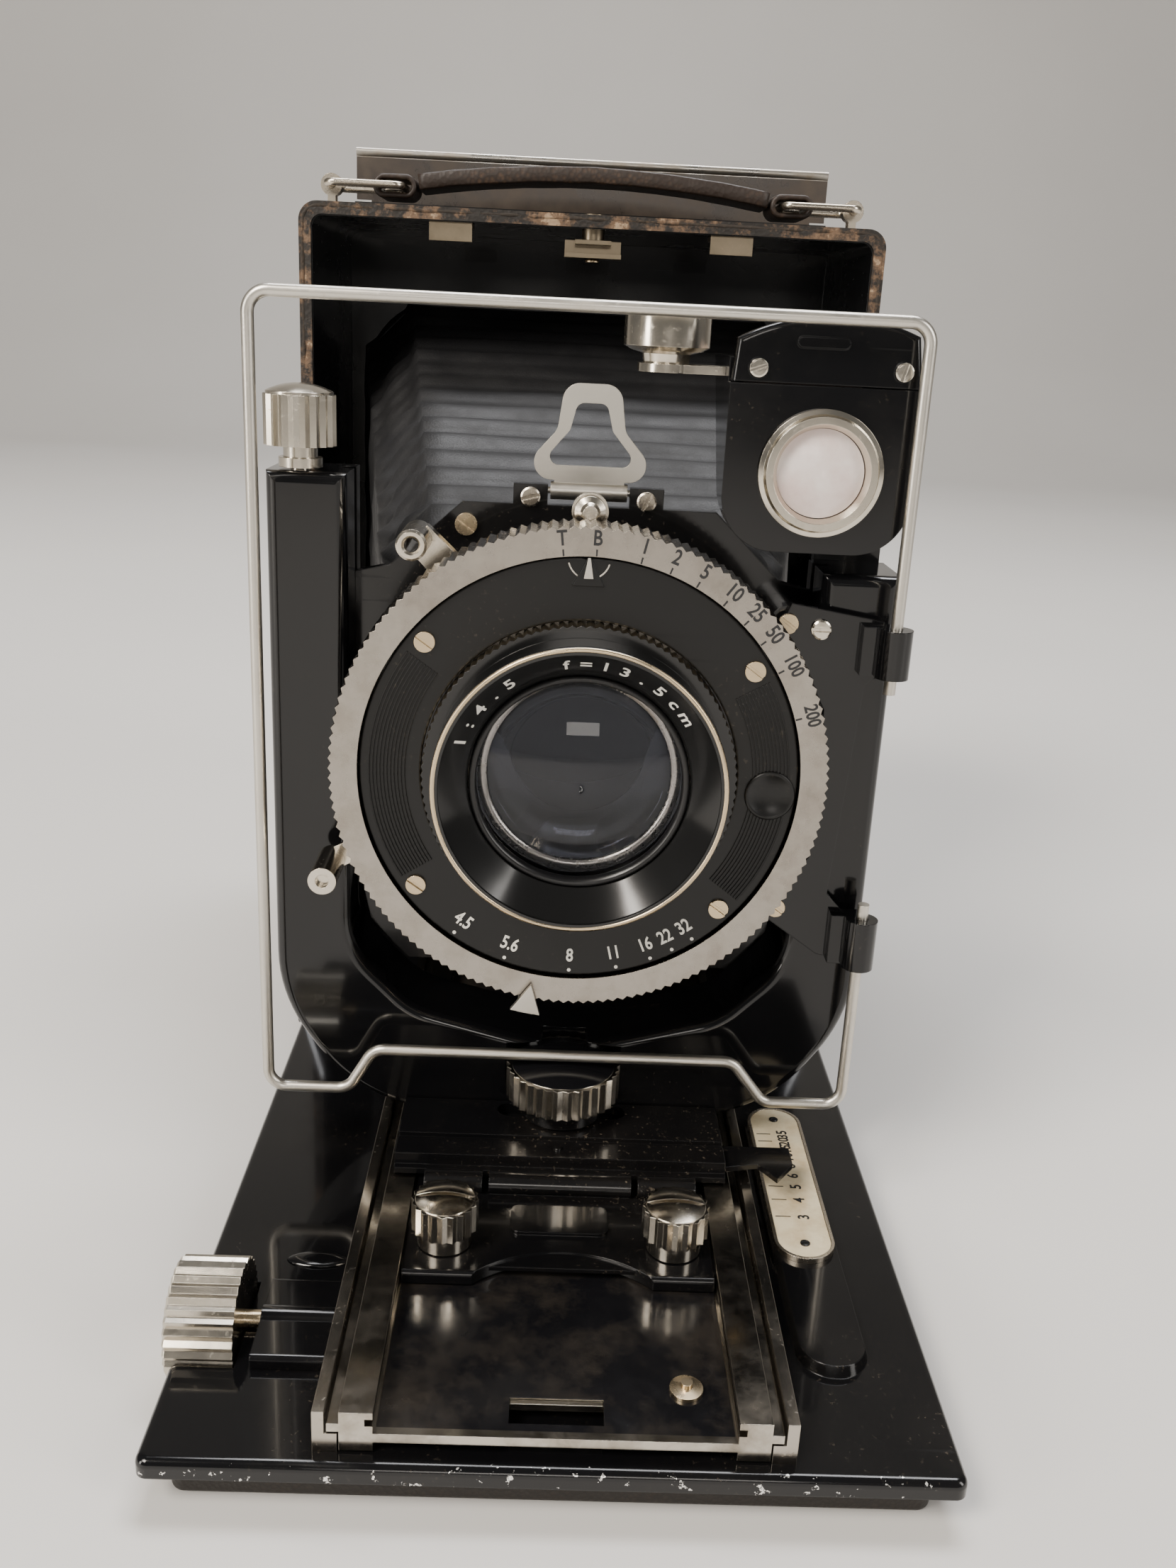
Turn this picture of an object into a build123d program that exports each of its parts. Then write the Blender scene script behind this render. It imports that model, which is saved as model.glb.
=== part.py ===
from build123d import *
import math
import os

# Folding plate camera, 9 x 12 cm, lens towards -Y, +X to the right seen from the front, +Z up.
# Z = 0 is the table it stands on, Y = 0 the front rim of the body, X = 0 the middle of the lens.

# ---- driving dimensions, millimetres ----
BODY_W, BODY_H, BODY_D = 112.3, 161.3, 52.0
LEATHER = 0.8
WALL = 1.7
BODY_R = 3.6
BED_Z = 8.0                      # top face of the opened bed
BED_HALF, BED_FRONT, BED_T = 51.5, -149.8, 2.6
LENS_Z = BED_Z + 72.7
WINDOW_W, WINDOW_H = 88.0, 118.0

TRACK_OUT, TRACK_IN = 30.1, 28.6
RUNNER_OUT, RUNNER_IN = 26.8, 22.6
RAIL_H = 6.0
RAIL_FRONT, RAIL_BACK = -147.4, -6.0

PINION_Y, PINION_Z = -124.9, BED_Z + 0.8
PINION_TEETH, MODULE = 10, 0.5
PITCH_R = PINION_TEETH * MODULE / 2
KNOB_R = 8.2

U_FRONT, U_BACK = -80.0, -66.0
ARM_OUT, ARM_IN = 47.1, 35.3
BOARD_FRONT, BOARD_BACK = -71.5, -69.5
WIRE_R, WIRE_Y = 0.9, -85.2
WIRE_LEFT, WIRE_RIGHT = -47.7, 45.7
FINDER_FRONT = -82.0
FINDER_PIVOT = (41.3, BED_Z + 108.0)
RISE_X, RISE_Y = -42.6, -75.5
SCREW_R = 1.5
CROSS_Y = -83.0
GRIP_X, GRIP_Y = 16.8, -112.3
HOLDER_Y, HOLDER_T = 53.5, 4.0
STRAP_Y, STRAP_W = 27.0, 13.0
LINK_X = 54.0
LINK_Z = BED_Z + 158.3

os.makedirs("parts", exist_ok=True)


def bed(z):
    """Height z above the bed's top face, in the part's frame."""
    return BED_Z + z


def save(builder, label):
    builder.part.label = label
    export_step(builder.part, f"parts/{label}.step")


def front(y):
    """Sketch plane facing the front of the camera at depth y: sketch x is X, sketch y is Z."""
    return Plane((0, y, 0), x_dir=(1, 0, 0), z_dir=(0, -1, 0))


def side(x):
    """Sketch plane square to X: sketch x is Y, sketch y is Z."""
    return Plane((x, 0, 0), x_dir=(0, 1, 0), z_dir=(1, 0, 0))


def dome(radius, rise):
    """Height at half radius of a spherical cap, measured from its rim."""
    sphere = (radius * radius + rise * rise) / (2 * rise)
    return math.sqrt(sphere * sphere - radius * radius / 4) - (sphere - rise)


def knurl_points(radius, depth, teeth):
    """Corner points of a V-cut knurled rim."""
    points = []
    for k in range(2 * teeth):
        r = radius if k % 2 == 0 else radius - depth
        a = math.pi * k / teeth
        points.append((r * math.cos(a), r * math.sin(a)))
    return points


# =====================================================================================
# body
# =====================================================================================
SHELL_HALF = BODY_W / 2 - LEATHER
INNER_HALF = SHELL_HALF - WALL
FLOOR, CEILING = LEATHER + WALL, BODY_H - LEATHER - WALL
MIDDLE_Z = BODY_H / 2
HINGE_Y, HINGE_Z, HINGE_R = 1.9, 6.0, 1.0

with BuildPart() as body_shell:
    with BuildSketch(front(0)):
        with Locations((0, MIDDLE_Z)):
            RectangleRounded(2 * SHELL_HALF, BODY_H - 2 * LEATHER, BODY_R - LEATHER)
    extrude(amount=-BODY_D)
    with BuildSketch(front(0)):
        with Locations((0, MIDDLE_Z)):
            RectangleRounded(2 * INNER_HALF, CEILING - FLOOR, 2.2)
    extrude(amount=-(BODY_D - 2), mode=Mode.SUBTRACT)
    with BuildSketch(front(BODY_D)):
        with Locations((0, MIDDLE_Z)):
            Rectangle(WINDOW_W, WINDOW_H)
    extrude(amount=2, mode=Mode.SUBTRACT)
    # lugs for the bed hinge stand on the floor
    for x in (-47.5, -34.0, 34.0, 47.5):
        with Locations((x, HINGE_Y + 0.6, (FLOOR + HINGE_Z) / 2 + 0.8)):
            Box(2.4, 4.2, HINGE_Z - FLOOR + 2.0)
    with BuildSketch(side(-60)):
        with Locations((HINGE_Y, HINGE_Z)):
            Circle(HINGE_R + 0.05)
    extrude(amount=120, mode=Mode.SUBTRACT)
    # seats of the two tripod bushes
    with BuildSketch(Plane.XY.offset(0)):
        with Locations((0, 30)):
            Circle(6.0)
    extrude(amount=9, mode=Mode.SUBTRACT)
    with BuildSketch(side(60)):
        with Locations((30, MIDDLE_Z)):
            Circle(6.0)
    extrude(amount=-12, mode=Mode.SUBTRACT)
    # hole of the bed latch's button
    with Locations((0, 5.5, BODY_H - 2)):
        Cylinder(2.3, 8, mode=Mode.SUBTRACT)
save(body_shell, "body_shell")

with BuildPart() as leather_covering:
    with BuildSketch(front(-0.6)):
        with Locations((0, MIDDLE_Z)):
            RectangleRounded(BODY_W, BODY_H, BODY_R)
            RectangleRounded(2 * SHELL_HALF, BODY_H - 2 * LEATHER, BODY_R - LEATHER, mode=Mode.SUBTRACT)
    extrude(amount=-(BODY_D + 0.6))
    # the leather turns over the front rim
    with BuildSketch(front(0)):
        with Locations((0, MIDDLE_Z)):
            RectangleRounded(BODY_W, BODY_H, BODY_R)
            RectangleRounded(2 * INNER_HALF + 0.4, CEILING - FLOOR + 0.4, 2.2, mode=Mode.SUBTRACT)
    extrude(amount=0.6)
    with Locations((0, 30, 0)):
        Cylinder(6.0, 6, mode=Mode.SUBTRACT)
    with BuildSketch(side(60)):
        with Locations((30, MIDDLE_Z)):
            Circle(6.0)
    extrude(amount=-5, mode=Mode.SUBTRACT)
    with Locations((0, 5.5, BODY_H)):
        Cylinder(2.3, 6, mode=Mode.SUBTRACT)
    for x in (-LINK_X, LINK_X):
        with Locations((x, STRAP_Y, BODY_H)):
            Box(6, 6, 6, mode=Mode.SUBTRACT)
save(leather_covering, "leather_covering")

# light-tight back with the two channels that hold the plate holder
with BuildPart() as back_frame:
    with BuildSketch(front(BODY_D)):
        with Locations((0, MIDDLE_Z)):
            RectangleRounded(2 * SHELL_HALF, BODY_H - 2 * LEATHER, BODY_R - LEATHER)
    extrude(amount=-7)
    with BuildSketch(front(BODY_D)):
        with Locations((0, MIDDLE_Z)):
            Rectangle(WINDOW_W, WINDOW_H)
    extrude(amount=-7, mode=Mode.SUBTRACT)
    # slot the holder slides down, open at the top
    with Locations((0, BODY_D + 1.2 + (HOLDER_T + 0.6) / 2, 3.2 + 100)):
        Box(107.2, HOLDER_T + 0.6, 200, mode=Mode.SUBTRACT)
    with Locations((0, BODY_D + 6.5, 9 + 100)):
        Box(98.0, 3, 200, mode=Mode.SUBTRACT)
save(back_frame, "back_frame")

with BuildPart() as body_rails:
    for s in (-1, 1):
        with BuildSketch(front(5)):
            with BuildLine():
                Polyline((s * 22.6, FLOOR), (s * 28.4, FLOOR), (s * 28.4, bed(4.3)), (s * 26.8, bed(4.3)),
                         (s * 26.8, bed(RAIL_H)), (s * 22.6, bed(RAIL_H)), (s * 22.6, bed(5.05)),
                         (s * 23.6, bed(5.05)), (s * 23.6, bed(4.05)), (s * 22.6, bed(4.05)), close=True)
            make_face()
        extrude(amount=-40)
save(body_rails, "body_rails")

with BuildPart() as bed_clips:
    for x in (-27.4, 26.6):
        with Locations((x, 4.2, CEILING - 0.4)):
            Box(8.2, 6.4, 0.8)
        with Locations((x, 1.5, CEILING - 1.9)):
            Box(8.2, 1.0, 3.0)
save(bed_clips, "bed_clips")

with BuildPart() as strap_eyelets:
    for x in (-LINK_X, LINK_X):
        with Locations((x, STRAP_Y, BODY_H - 0.4)):
            Box(6, 6, 0.8)
        with Locations((x, STRAP_Y, (BODY_H + LINK_Z) / 2)):
            Box(1.6, 3.0, LINK_Z - BODY_H)
        with BuildSketch(front(STRAP_Y - 1.5)):
            with Locations((x, LINK_Z)):
                Circle(2.2)
        extrude(amount=-3.0)
    with BuildSketch(front(STRAP_Y - 3)):
        with Locations((-LINK_X, LINK_Z), (LINK_X, LINK_Z)):
            Circle(0.80)
    extrude(amount=-6, mode=Mode.SUBTRACT)
save(strap_eyelets, "strap_eyelets")

with BuildPart() as tripod_bushes:
    with BuildSketch(Plane.XY.offset(0)):
        with Locations((0, 30)):
            Circle(6.0)
    extrude(amount=9)
    with BuildSketch(Plane.XY.offset(0)):
        with Locations((0, 30)):
            Circle(4.0)
    extrude(amount=7.5, mode=Mode.SUBTRACT)
    with BuildSketch(side(BODY_W / 2)):
        with Locations((30, MIDDLE_Z)):
            Circle(6.0)
    extrude(amount=-7.4)
    with BuildSketch(side(BODY_W / 2)):
        with Locations((30, MIDDLE_Z)):
            Circle(4.0)
    extrude(amount=-6.4, mode=Mode.SUBTRACT)
save(tripod_bushes, "tripod_bushes")

# =====================================================================================
# bellows: the soft tube between the body's back wall and the lens board
# =====================================================================================
BELLOWS_BACK, BELLOWS_FRONT = 49.6, -69.2


def octagon(half_w, half_h, cut, centre_z):
    """Corner points of a rectangle with its corners cut off."""
    w, h = half_w, half_h
    return [(-w, centre_z - h + cut), (-w + cut, centre_z - h), (w - cut, centre_z - h),
            (w, centre_z - h + cut), (w, centre_z + h - cut), (w - cut, centre_z + h),
            (-w + cut, centre_z + h), (-w, centre_z + h - cut)]


BELLOWS_WALL = 1.6
# depth, half width, half height, corner cut and middle height of each section
BELLOWS_SECTIONS = (
    (BELLOWS_BACK, 50.5, 64.8, 10.0, MIDDLE_Z),
    (39.0, 48.3, 61.6, 9.6, MIDDLE_Z),
    (BELLOWS_FRONT, 31.0, 29.8, 7.0, LENS_Z),
)

with BuildPart() as bellows:
    for wall, mode in ((0.0, Mode.ADD), (BELLOWS_WALL, Mode.SUBTRACT)):
        for y, half_w, half_h, cut, centre_z in BELLOWS_SECTIONS:
            with BuildSketch(front(y)):
                Polygon(*octagon(half_w - wall, half_h - wall, cut, centre_z), align=None)
        loft(ruled=True, mode=mode)
save(bellows, "bellows")

# =====================================================================================
# bed
# =====================================================================================
PAN_INSET = 3.2
KNOB_X = (-52.6, -43.2)
NOTCH = KNOB_R + 0.5

with BuildPart() as bed_plate:
    with BuildSketch(Plane.XY.offset(bed(-BED_T))):
        with Locations((0, (BED_FRONT - 0.2) / 2)):
            RectangleRounded(2 * BED_HALF, -BED_FRONT - 0.2, 1.6)
    extrude(amount=BED_T)
    fillet(bed_plate.faces().sort_by(Axis.Z)[-1].edges(), 1.1)
    # long raised boss beside the right track, which carries the distance scale
    with BuildSketch(Plane.XY.offset(bed(-0.5))):
        with Locations((38.0, -99.5)):
            SlotOverall(66.0, 10.4, rotation=90)
    extrude(amount=0.5 + 1.6, taper=18)
    # knuckles of the hinge
    for x, length in ((-40.7, 10.6), (0, 40.0), (40.7, 10.6)):
        with Locations((x, HINGE_Y / 2 - 0.4, bed(-1.3))):
            Box(length, HINGE_Y + 1.2, 2.0)
        with Locations((x, HINGE_Y, HINGE_Z)):
            Cylinder(HINGE_R + 0.95, length, rotation=(0, 90, 0))
    with BuildSketch(side(-60)):
        with Locations((HINGE_Y, HINGE_Z)):
            Circle(HINGE_R + 0.05)
    extrude(amount=120, mode=Mode.SUBTRACT)
    # notch for the focusing knob and trough for its shaft and pinion
    with Locations(((KNOB_X[0] + KNOB_X[1]) / 2 - 2, PINION_Y, bed(0))):
        Box(KNOB_X[1] - KNOB_X[0] + 4.8, 2 * NOTCH, 12, mode=Mode.SUBTRACT)
    with Locations((-33, PINION_Y, bed(0.5))):
        Box(20, 3.4, 3.0, mode=Mode.SUBTRACT)
    with Locations((-25.1, PINION_Y, bed(0))):
        Box(3.8, 7.0, 4.6, mode=Mode.SUBTRACT)
save(bed_plate, "bed_plate")

FOOT_HINGE_Y, FOOT_HINGE_Z = -118.0, 1.1
with BuildPart() as bed_leather:
    with BuildSketch(Plane.XY.offset(0)):
        with Locations((0, (BED_FRONT + PAN_INSET - 1.2) / 2)):
            RectangleRounded(2 * (BED_HALF - PAN_INSET), -(BED_FRONT + PAN_INSET) - 1.2, 2.0)
    extrude(amount=bed(-BED_T))
    fillet(bed_leather.faces().sort_by(Axis.Z)[0].edges(), 0.8)
    with Locations(((KNOB_X[0] + KNOB_X[1]) / 2 - 2, PINION_Y, 3)):
        Box(KNOB_X[1] - KNOB_X[0] + 4.8, 2 * NOTCH, 8, mode=Mode.SUBTRACT)
    # recess of the fold-out foot
    with Locations((0, -131.5, 0.8)):
        Box(21, 29.5, 2.6, mode=Mode.SUBTRACT)
save(bed_leather, "bed_leather")

with BuildPart() as bed_foot:
    with BuildSketch(Plane.XY.offset(FOOT_HINGE_Z - 0.5)):
        with BuildLine():
            Polyline((-8, FOOT_HINGE_Y), (8, FOOT_HINGE_Y), (9, -143.5), (-9, -143.5), close=True)
        make_face()
        with Locations((0, -132)):
            RectangleRounded(9, 15, 2, mode=Mode.SUBTRACT)
    extrude(amount=1.0)
    with Locations((0, FOOT_HINGE_Y, FOOT_HINGE_Z)):
        Cylinder(0.85, 16, rotation=(0, 90, 0))
save(bed_foot, "bed_foot")

with BuildPart() as bed_hinge_pin:
    with Locations((0, HINGE_Y, HINGE_Z)):
        Cylinder(HINGE_R, 98.4, rotation=(0, 90, 0))
save(bed_hinge_pin, "bed_hinge_pin")

# struts that lock the bed square to the body
BRACE_LOW, BRACE_HIGH = (-30.0, bed(-1.3)), (6.0, bed(43.0))
BRACE_IN, BRACE_T = 51.9, 1.1
with BuildPart() as bed_braces:
    for s in (-1, 1):
        angle = math.degrees(math.atan2(BRACE_HIGH[1] - BRACE_LOW[1], BRACE_HIGH[0] - BRACE_LOW[0]))
        length = math.dist(BRACE_LOW, BRACE_HIGH)
        centre = ((BRACE_LOW[0] + BRACE_HIGH[0]) / 2, (BRACE_LOW[1] + BRACE_HIGH[1]) / 2)
        with BuildSketch(side(BRACE_IN if s > 0 else -BRACE_IN - BRACE_T)):
            with Locations(centre):
                SlotOverall(length + 6.0, 6.0, rotation=angle)
        extrude(amount=BRACE_T)
        with Locations((s * (BED_HALF + 0.2), *BRACE_LOW)):
            Cylinder(1.2, 0.4, rotation=(0, 90, 0))
        with Locations((s * (BRACE_IN + BRACE_T + 0.3), *BRACE_HIGH)):
            Cylinder(1.6, 2 * (INNER_HALF - BRACE_IN - BRACE_T) - 0.6, rotation=(0, 90, 0))
save(bed_braces, "bed_braces")


def track(s):
    """Fixed outer rail: a wall with a low ledge on its inner side; s is -1 on the left."""
    with BuildPart() as rail:
        with BuildSketch(front(RAIL_FRONT)):
            with BuildLine():
                Polyline((s * TRACK_OUT, bed(0)), (s * TRACK_OUT, bed(RAIL_H)), (s * TRACK_IN, bed(RAIL_H)),
                         (s * TRACK_IN, bed(2.8)), (s * 27.0, bed(2.8)), (s * 27.0, bed(0)), close=True)
            make_face()
        extrude(amount=RAIL_FRONT + 4)
        if s < 0:
            with Locations((-28, PINION_Y, bed(0.8))):
                Box(8, 2.9, 2.9, mode=Mode.SUBTRACT)
    return rail


left_track = track(-1)
save(left_track, "left_track")
right_track = track(1)
save(right_track, "right_track")

SCALE_X, SCALE_Y = 37.6, -89.4
with BuildPart() as scale_rim:
    with BuildSketch(Plane.XY.offset(bed(1.6))):
        with Locations((SCALE_X, SCALE_Y)):
            SlotOverall(42.0, 9.2, rotation=90)
    extrude(amount=0.9)
    with BuildSketch(Plane.XY.offset(bed(1.9))):
        with Locations((SCALE_X, SCALE_Y)):
            SlotOverall(41.0, 8.2, rotation=90)
    extrude(amount=0.8, mode=Mode.SUBTRACT)
save(scale_rim, "scale_rim")

with BuildPart() as distance_scale:
    with BuildSketch(Plane.XY.offset(bed(1.9))):
        with Locations((SCALE_X, SCALE_Y)):
            SlotOverall(40.9, 8.1, rotation=90)
    extrude(amount=0.5)
save(distance_scale, "distance_scale")

with BuildPart() as pinion_housing:
    with Locations((-35.5, PINION_Y - 0.6, bed(0.95))):
        Box(10.6, 16.4, 1.9)
    fillet(pinion_housing.edges().filter_by(Axis.X).group_by(Axis.Z)[-1], 0.8)
    with Locations((-35.5, PINION_Y, bed(0.8))):
        Cylinder(1.9, 10.6, rotation=(0, 90, 0))
    with BuildSketch(side(-41)):
        with Locations((PINION_Y, PINION_Z)):
            Circle(1.26)
    extrude(amount=12, mode=Mode.SUBTRACT)
    with Locations((-35.5, PINION_Y, bed(-2))):
        Box(12, 20, 4, mode=Mode.SUBTRACT)
save(pinion_housing, "pinion_housing")

# =====================================================================================
# focusing knob, its pinion and the carriage
# =====================================================================================
with BuildPart() as focus_knob:
    with BuildSketch(side(KNOB_X[0])):
        with Locations((PINION_Y, PINION_Z)):
            Polygon(*knurl_points(KNOB_R, 0.55, 32), align=None)
    extrude(amount=KNOB_X[1] - KNOB_X[0])
    chamfer(focus_knob.faces().sort_by(Axis.X)[0].edges(), 0.35)
    with BuildSketch(side(KNOB_X[0])):
        with Locations((PINION_Y, PINION_Z)):
            Circle(KNOB_R - 2.4)
    extrude(amount=1.0, mode=Mode.SUBTRACT)
    with BuildSketch(side(KNOB_X[0] + 3)):
        with Locations((PINION_Y, PINION_Z)):
            Circle(1.2)
    extrude(amount=12, mode=Mode.SUBTRACT)
save(focus_knob, "focus_knob")


def pinion_points():
    """Outline of a small spur pinion with straight-sided teeth and generous backlash."""
    points = []
    root, tip = PITCH_R - 0.62, PITCH_R + 0.38
    for k in range(PINION_TEETH):
        a = 2 * math.pi * k / PINION_TEETH + math.pi / 2
        for r, half_width in ((root, 0.42), (tip, 0.17)):
            points.append((r, a - half_width / r))
        for r, half_width in ((tip, 0.17), (root, 0.42)):
            points.append((r, a + half_width / r))
    return [(r * math.cos(a), r * math.sin(a)) for r, a in points]


with BuildPart() as focus_pinion:
    with BuildSketch(side(KNOB_X[0] + 3)):
        with Locations((PINION_Y, PINION_Z)):
            Circle(1.2)
    extrude(amount=-23.9 - (KNOB_X[0] + 3))
    with BuildSketch(side(-26.3)):
        with Locations((PINION_Y, PINION_Z)):
            Polygon(*pinion_points(), align=None)
    extrude(amount=2.4)
save(focus_pinion, "focus_pinion")

RACK_Z = PINION_Z + PITCH_R
RACK_PITCH = math.pi * MODULE


def under_rack(y_from, y_to):
    """Outline, in Y and Z, of the free space under the rack; a gap stands above the pinion's top tooth."""
    root, tip = RACK_Z + 0.55, RACK_Z - 0.38
    points = [(y_from, bed(-1)), (y_from, root)]
    first = math.ceil((y_from + 1.0 - PINION_Y) / RACK_PITCH - 0.5)
    last = math.floor((y_to - 1.0 - PINION_Y) / RACK_PITCH - 0.5)
    for k in range(first, last + 1):
        y = PINION_Y + (k + 0.5) * RACK_PITCH
        points += [(y - 0.44, root), (y - 0.16, tip), (y + 0.16, tip), (y + 0.44, root)]
    return points + [(y_to, root), (y_to, bed(-1))]


with BuildPart() as carriage_plate:
    with BuildSketch(front(RAIL_FRONT)):
        with BuildLine():
            Polyline((-RUNNER_IN, bed(1.6)), (RUNNER_IN, bed(1.6)), (RUNNER_IN, bed(0.3)),
                     (RUNNER_OUT, bed(0.3)), (RUNNER_OUT, bed(3.1)), (28.3, bed(3.1)), (28.3, bed(4.3)),
                     (RUNNER_OUT, bed(4.3)), (RUNNER_OUT, bed(RAIL_H)), (RUNNER_IN, bed(RAIL_H)),
                     (RUNNER_IN, bed(5.05)), (23.6, bed(5.05)), (23.6, bed(4.05)), (RUNNER_IN, bed(4.05)),
                     (RUNNER_IN, bed(2.9)), (-RUNNER_IN, bed(2.9)), (-RUNNER_IN, bed(4.05)),
                     (-23.6, bed(4.05)), (-23.6, bed(5.05)), (-RUNNER_IN, bed(5.05)),
                     (-RUNNER_IN, bed(RAIL_H)), (-RUNNER_OUT, bed(RAIL_H)), (-RUNNER_OUT, bed(4.3)),
                     (-28.3, bed(4.3)), (-28.3, bed(3.1)), (-RUNNER_OUT, bed(3.1)),
                     (-RUNNER_OUT, bed(0.3)), (-RUNNER_IN, bed(0.3)), close=True)
        make_face()
    extrude(amount=RAIL_FRONT - RAIL_BACK)
    # rack cut into the underside of the left runner, and room for the pinion's shaft beside it
    with BuildSketch(side(-26.5)):
        Polygon(*under_rack(RAIL_FRONT + 2.4, RAIL_BACK + 3), align=None)
    extrude(amount=2.9, mode=Mode.SUBTRACT)
    with Locations((-27.6, (RAIL_FRONT + RAIL_BACK) / 2 + 2.4, bed(1.5))):
        Box(3.0, RAIL_BACK - RAIL_FRONT, 3.2, mode=Mode.SUBTRACT)
    # stop slot at the front end
    with BuildSketch(Plane.XY.offset(bed(1.0))):
        with Locations((0, -142.8)):
            Rectangle(12.0, 4.4)
    extrude(amount=3, mode=Mode.SUBTRACT)
    with Locations((16.8, -138.5, bed(2.2))):
        Cylinder(1.0, 4, mode=Mode.SUBTRACT)
save(carriage_plate, "carriage_plate")

with BuildPart() as stop_pin:
    with BuildSketch(Plane.XZ.offset(138.5)):
        with BuildLine():
            Polyline((16.8, bed(1.0)), (17.8, bed(1.0)), (17.8, bed(2.9)), (19.0, bed(2.9)), (19.0, bed(3.4)),
                     (17.6, bed(3.6)), (17.6, bed(4.3)), (16.8, bed(4.3)), close=True)
        make_face()
    revolve(axis=Axis((16.8, -138.5, 0), (0, 0, 1)))
save(stop_pin, "stop_pin")

# =====================================================================================
# standard: foot, cross rail and the two grips that release it
# =====================================================================================
FOOT_FRONT, FOOT_BACK = -119.5, -66.0
RAIL_TOP, RAIL_UNDER = bed(9.4), bed(6.4)

with BuildPart() as standard_foot:
    with BuildSketch(Plane.XY.offset(bed(3.2))):
        with BuildLine():
            Polyline((-12.4, FOOT_FRONT), (-22.3, FOOT_FRONT), (-22.3, FOOT_BACK), (22.3, FOOT_BACK),
                     (22.3, FOOT_FRONT), (13.5, FOOT_FRONT))
            ThreePointArc((13.5, FOOT_FRONT), (0.5, -114.2), (-12.4, FOOT_FRONT))
        make_face()
    extrude(amount=2.0)
    fillet(standard_foot.faces().sort_by(Axis.Y)[0:2].edges().group_by(Axis.Z)[-1], 0.7)
    with Locations((0, (FOOT_FRONT + FOOT_BACK) / 2 + 1, bed(4.55))):
        Box(46.6, FOOT_BACK - FOOT_FRONT - 2, 0.7)
    # hinge barrels across the foot
    for x, length in ((-16.5, 9.0), (0, 22.0), (16.5, 9.0)):
        with Locations((x, -99.6, bed(6.6))):
            Cylinder(1.7, length, rotation=(0, 90, 0))
    # raised panel in the middle
    with BuildSketch(Plane.XY.offset(bed(5.1))):
        with Locations((0, -107.2)):
            RectangleRounded(14.6, 6.6, 1.4)
    extrude(amount=0.7)
    # slots the two grips move in
    with BuildSketch(Plane.XY.offset(bed(2))):
        with Locations((-GRIP_X + 1, GRIP_Y), (GRIP_X - 1, GRIP_Y)):
            SlotOverall(5.8, 3.8)
    extrude(amount=6, mode=Mode.SUBTRACT)
save(standard_foot, "standard_foot")

with BuildPart() as cross_rail:
    with BuildSketch(side(-26)):
        with BuildLine():
            Polyline((-96.5, RAIL_UNDER), (-97.6, RAIL_UNDER), (-97.6, bed(7.4)), (-96.5, bed(7.4)),
                     (-96.5, RAIL_TOP), (-92.2, RAIL_TOP), (-92.2, RAIL_TOP - 0.8), (-90.6, RAIL_TOP - 0.8),
                     (-90.6, RAIL_TOP), (-80.4, RAIL_TOP), (-80.4, RAIL_UNDER), close=True)
        make_face()
    extrude(amount=52)
    with Locations((0, -89.25, (bed(5.2) + RAIL_UNDER) / 2)):
        Box(40, 14.5, RAIL_UNDER - bed(5.2))
    # slot for the lower end of the cross-front screw
    with BuildSketch(Plane.XY.offset(bed(7.2))):
        with Locations((0, CROSS_Y)):
            SlotOverall(21.0, 4.0)
    extrude(amount=4, mode=Mode.SUBTRACT)
    with Locations((-0.5, -94.3, RAIL_TOP)):
        Cylinder(0.6, 0.8)
save(cross_rail, "cross_rail")

with BuildPart() as distance_pointer:
    with BuildSketch(Plane.XY.offset(bed(7.4))):
        with BuildLine():
            Polyline((26, -96), (26, -90), (37, -90), (37, -94.5), (34, -98.6), (31.4, -94.8), close=True)
        make_face()
    extrude(amount=0.9)
save(distance_pointer, "distance_pointer")


def grip(s):
    """Pinch knob on the standard's foot; s is -1 for the left one."""
    with BuildPart() as knob:
        with Locations((s * GRIP_X, GRIP_Y, bed(3.2))):
            Cylinder(1.6, 2.4, align=(Align.CENTER, Align.CENTER, Align.MIN))
        with Locations((s * GRIP_X, GRIP_Y, bed(5.4))):
            Cylinder(4.0, 2.8, align=(Align.CENTER, Align.CENTER, Align.MIN))
        with BuildSketch(Plane.XY.offset(bed(8.0))):
            with Locations((s * GRIP_X, GRIP_Y)):
                Polygon(*knurl_points(4.9, 0.42, 20), align=None)
        extrude(amount=4.4)
        with BuildSketch(front(GRIP_Y)):
            with BuildLine():
                Line((s * GRIP_X, bed(12.0)), (s * GRIP_X + 4.3, bed(12.0)))
                Line((s * GRIP_X + 4.3, bed(12.0)), (s * GRIP_X + 4.3, bed(12.5)))
                ThreePointArc((s * GRIP_X + 4.3, bed(12.5)), (s * GRIP_X + 2.15, bed(12.5) + dome(4.3, 0.8)),
                              (s * GRIP_X, bed(13.3)))
                Line((s * GRIP_X, bed(13.3)), (s * GRIP_X, bed(12.0)))
            make_face()
        revolve(axis=Axis((s * GRIP_X, GRIP_Y, 0), (0, 0, 1)))
        with Locations((s * GRIP_X, GRIP_Y, bed(13.2))):
            Box(12, 0.8, 1.4, mode=Mode.SUBTRACT)
    return knob


left_grip = grip(-1)
save(left_grip, "left_grip")
right_grip = grip(1)
save(right_grip, "right_grip")

# =====================================================================================
# U-shaped frame with the cross-front and rising-front screws
# =====================================================================================
LEFT_TOP, RIGHT_TOP = bed(111.4), bed(100.0)
LUG_Y = (-66.0, -64.0)

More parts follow.
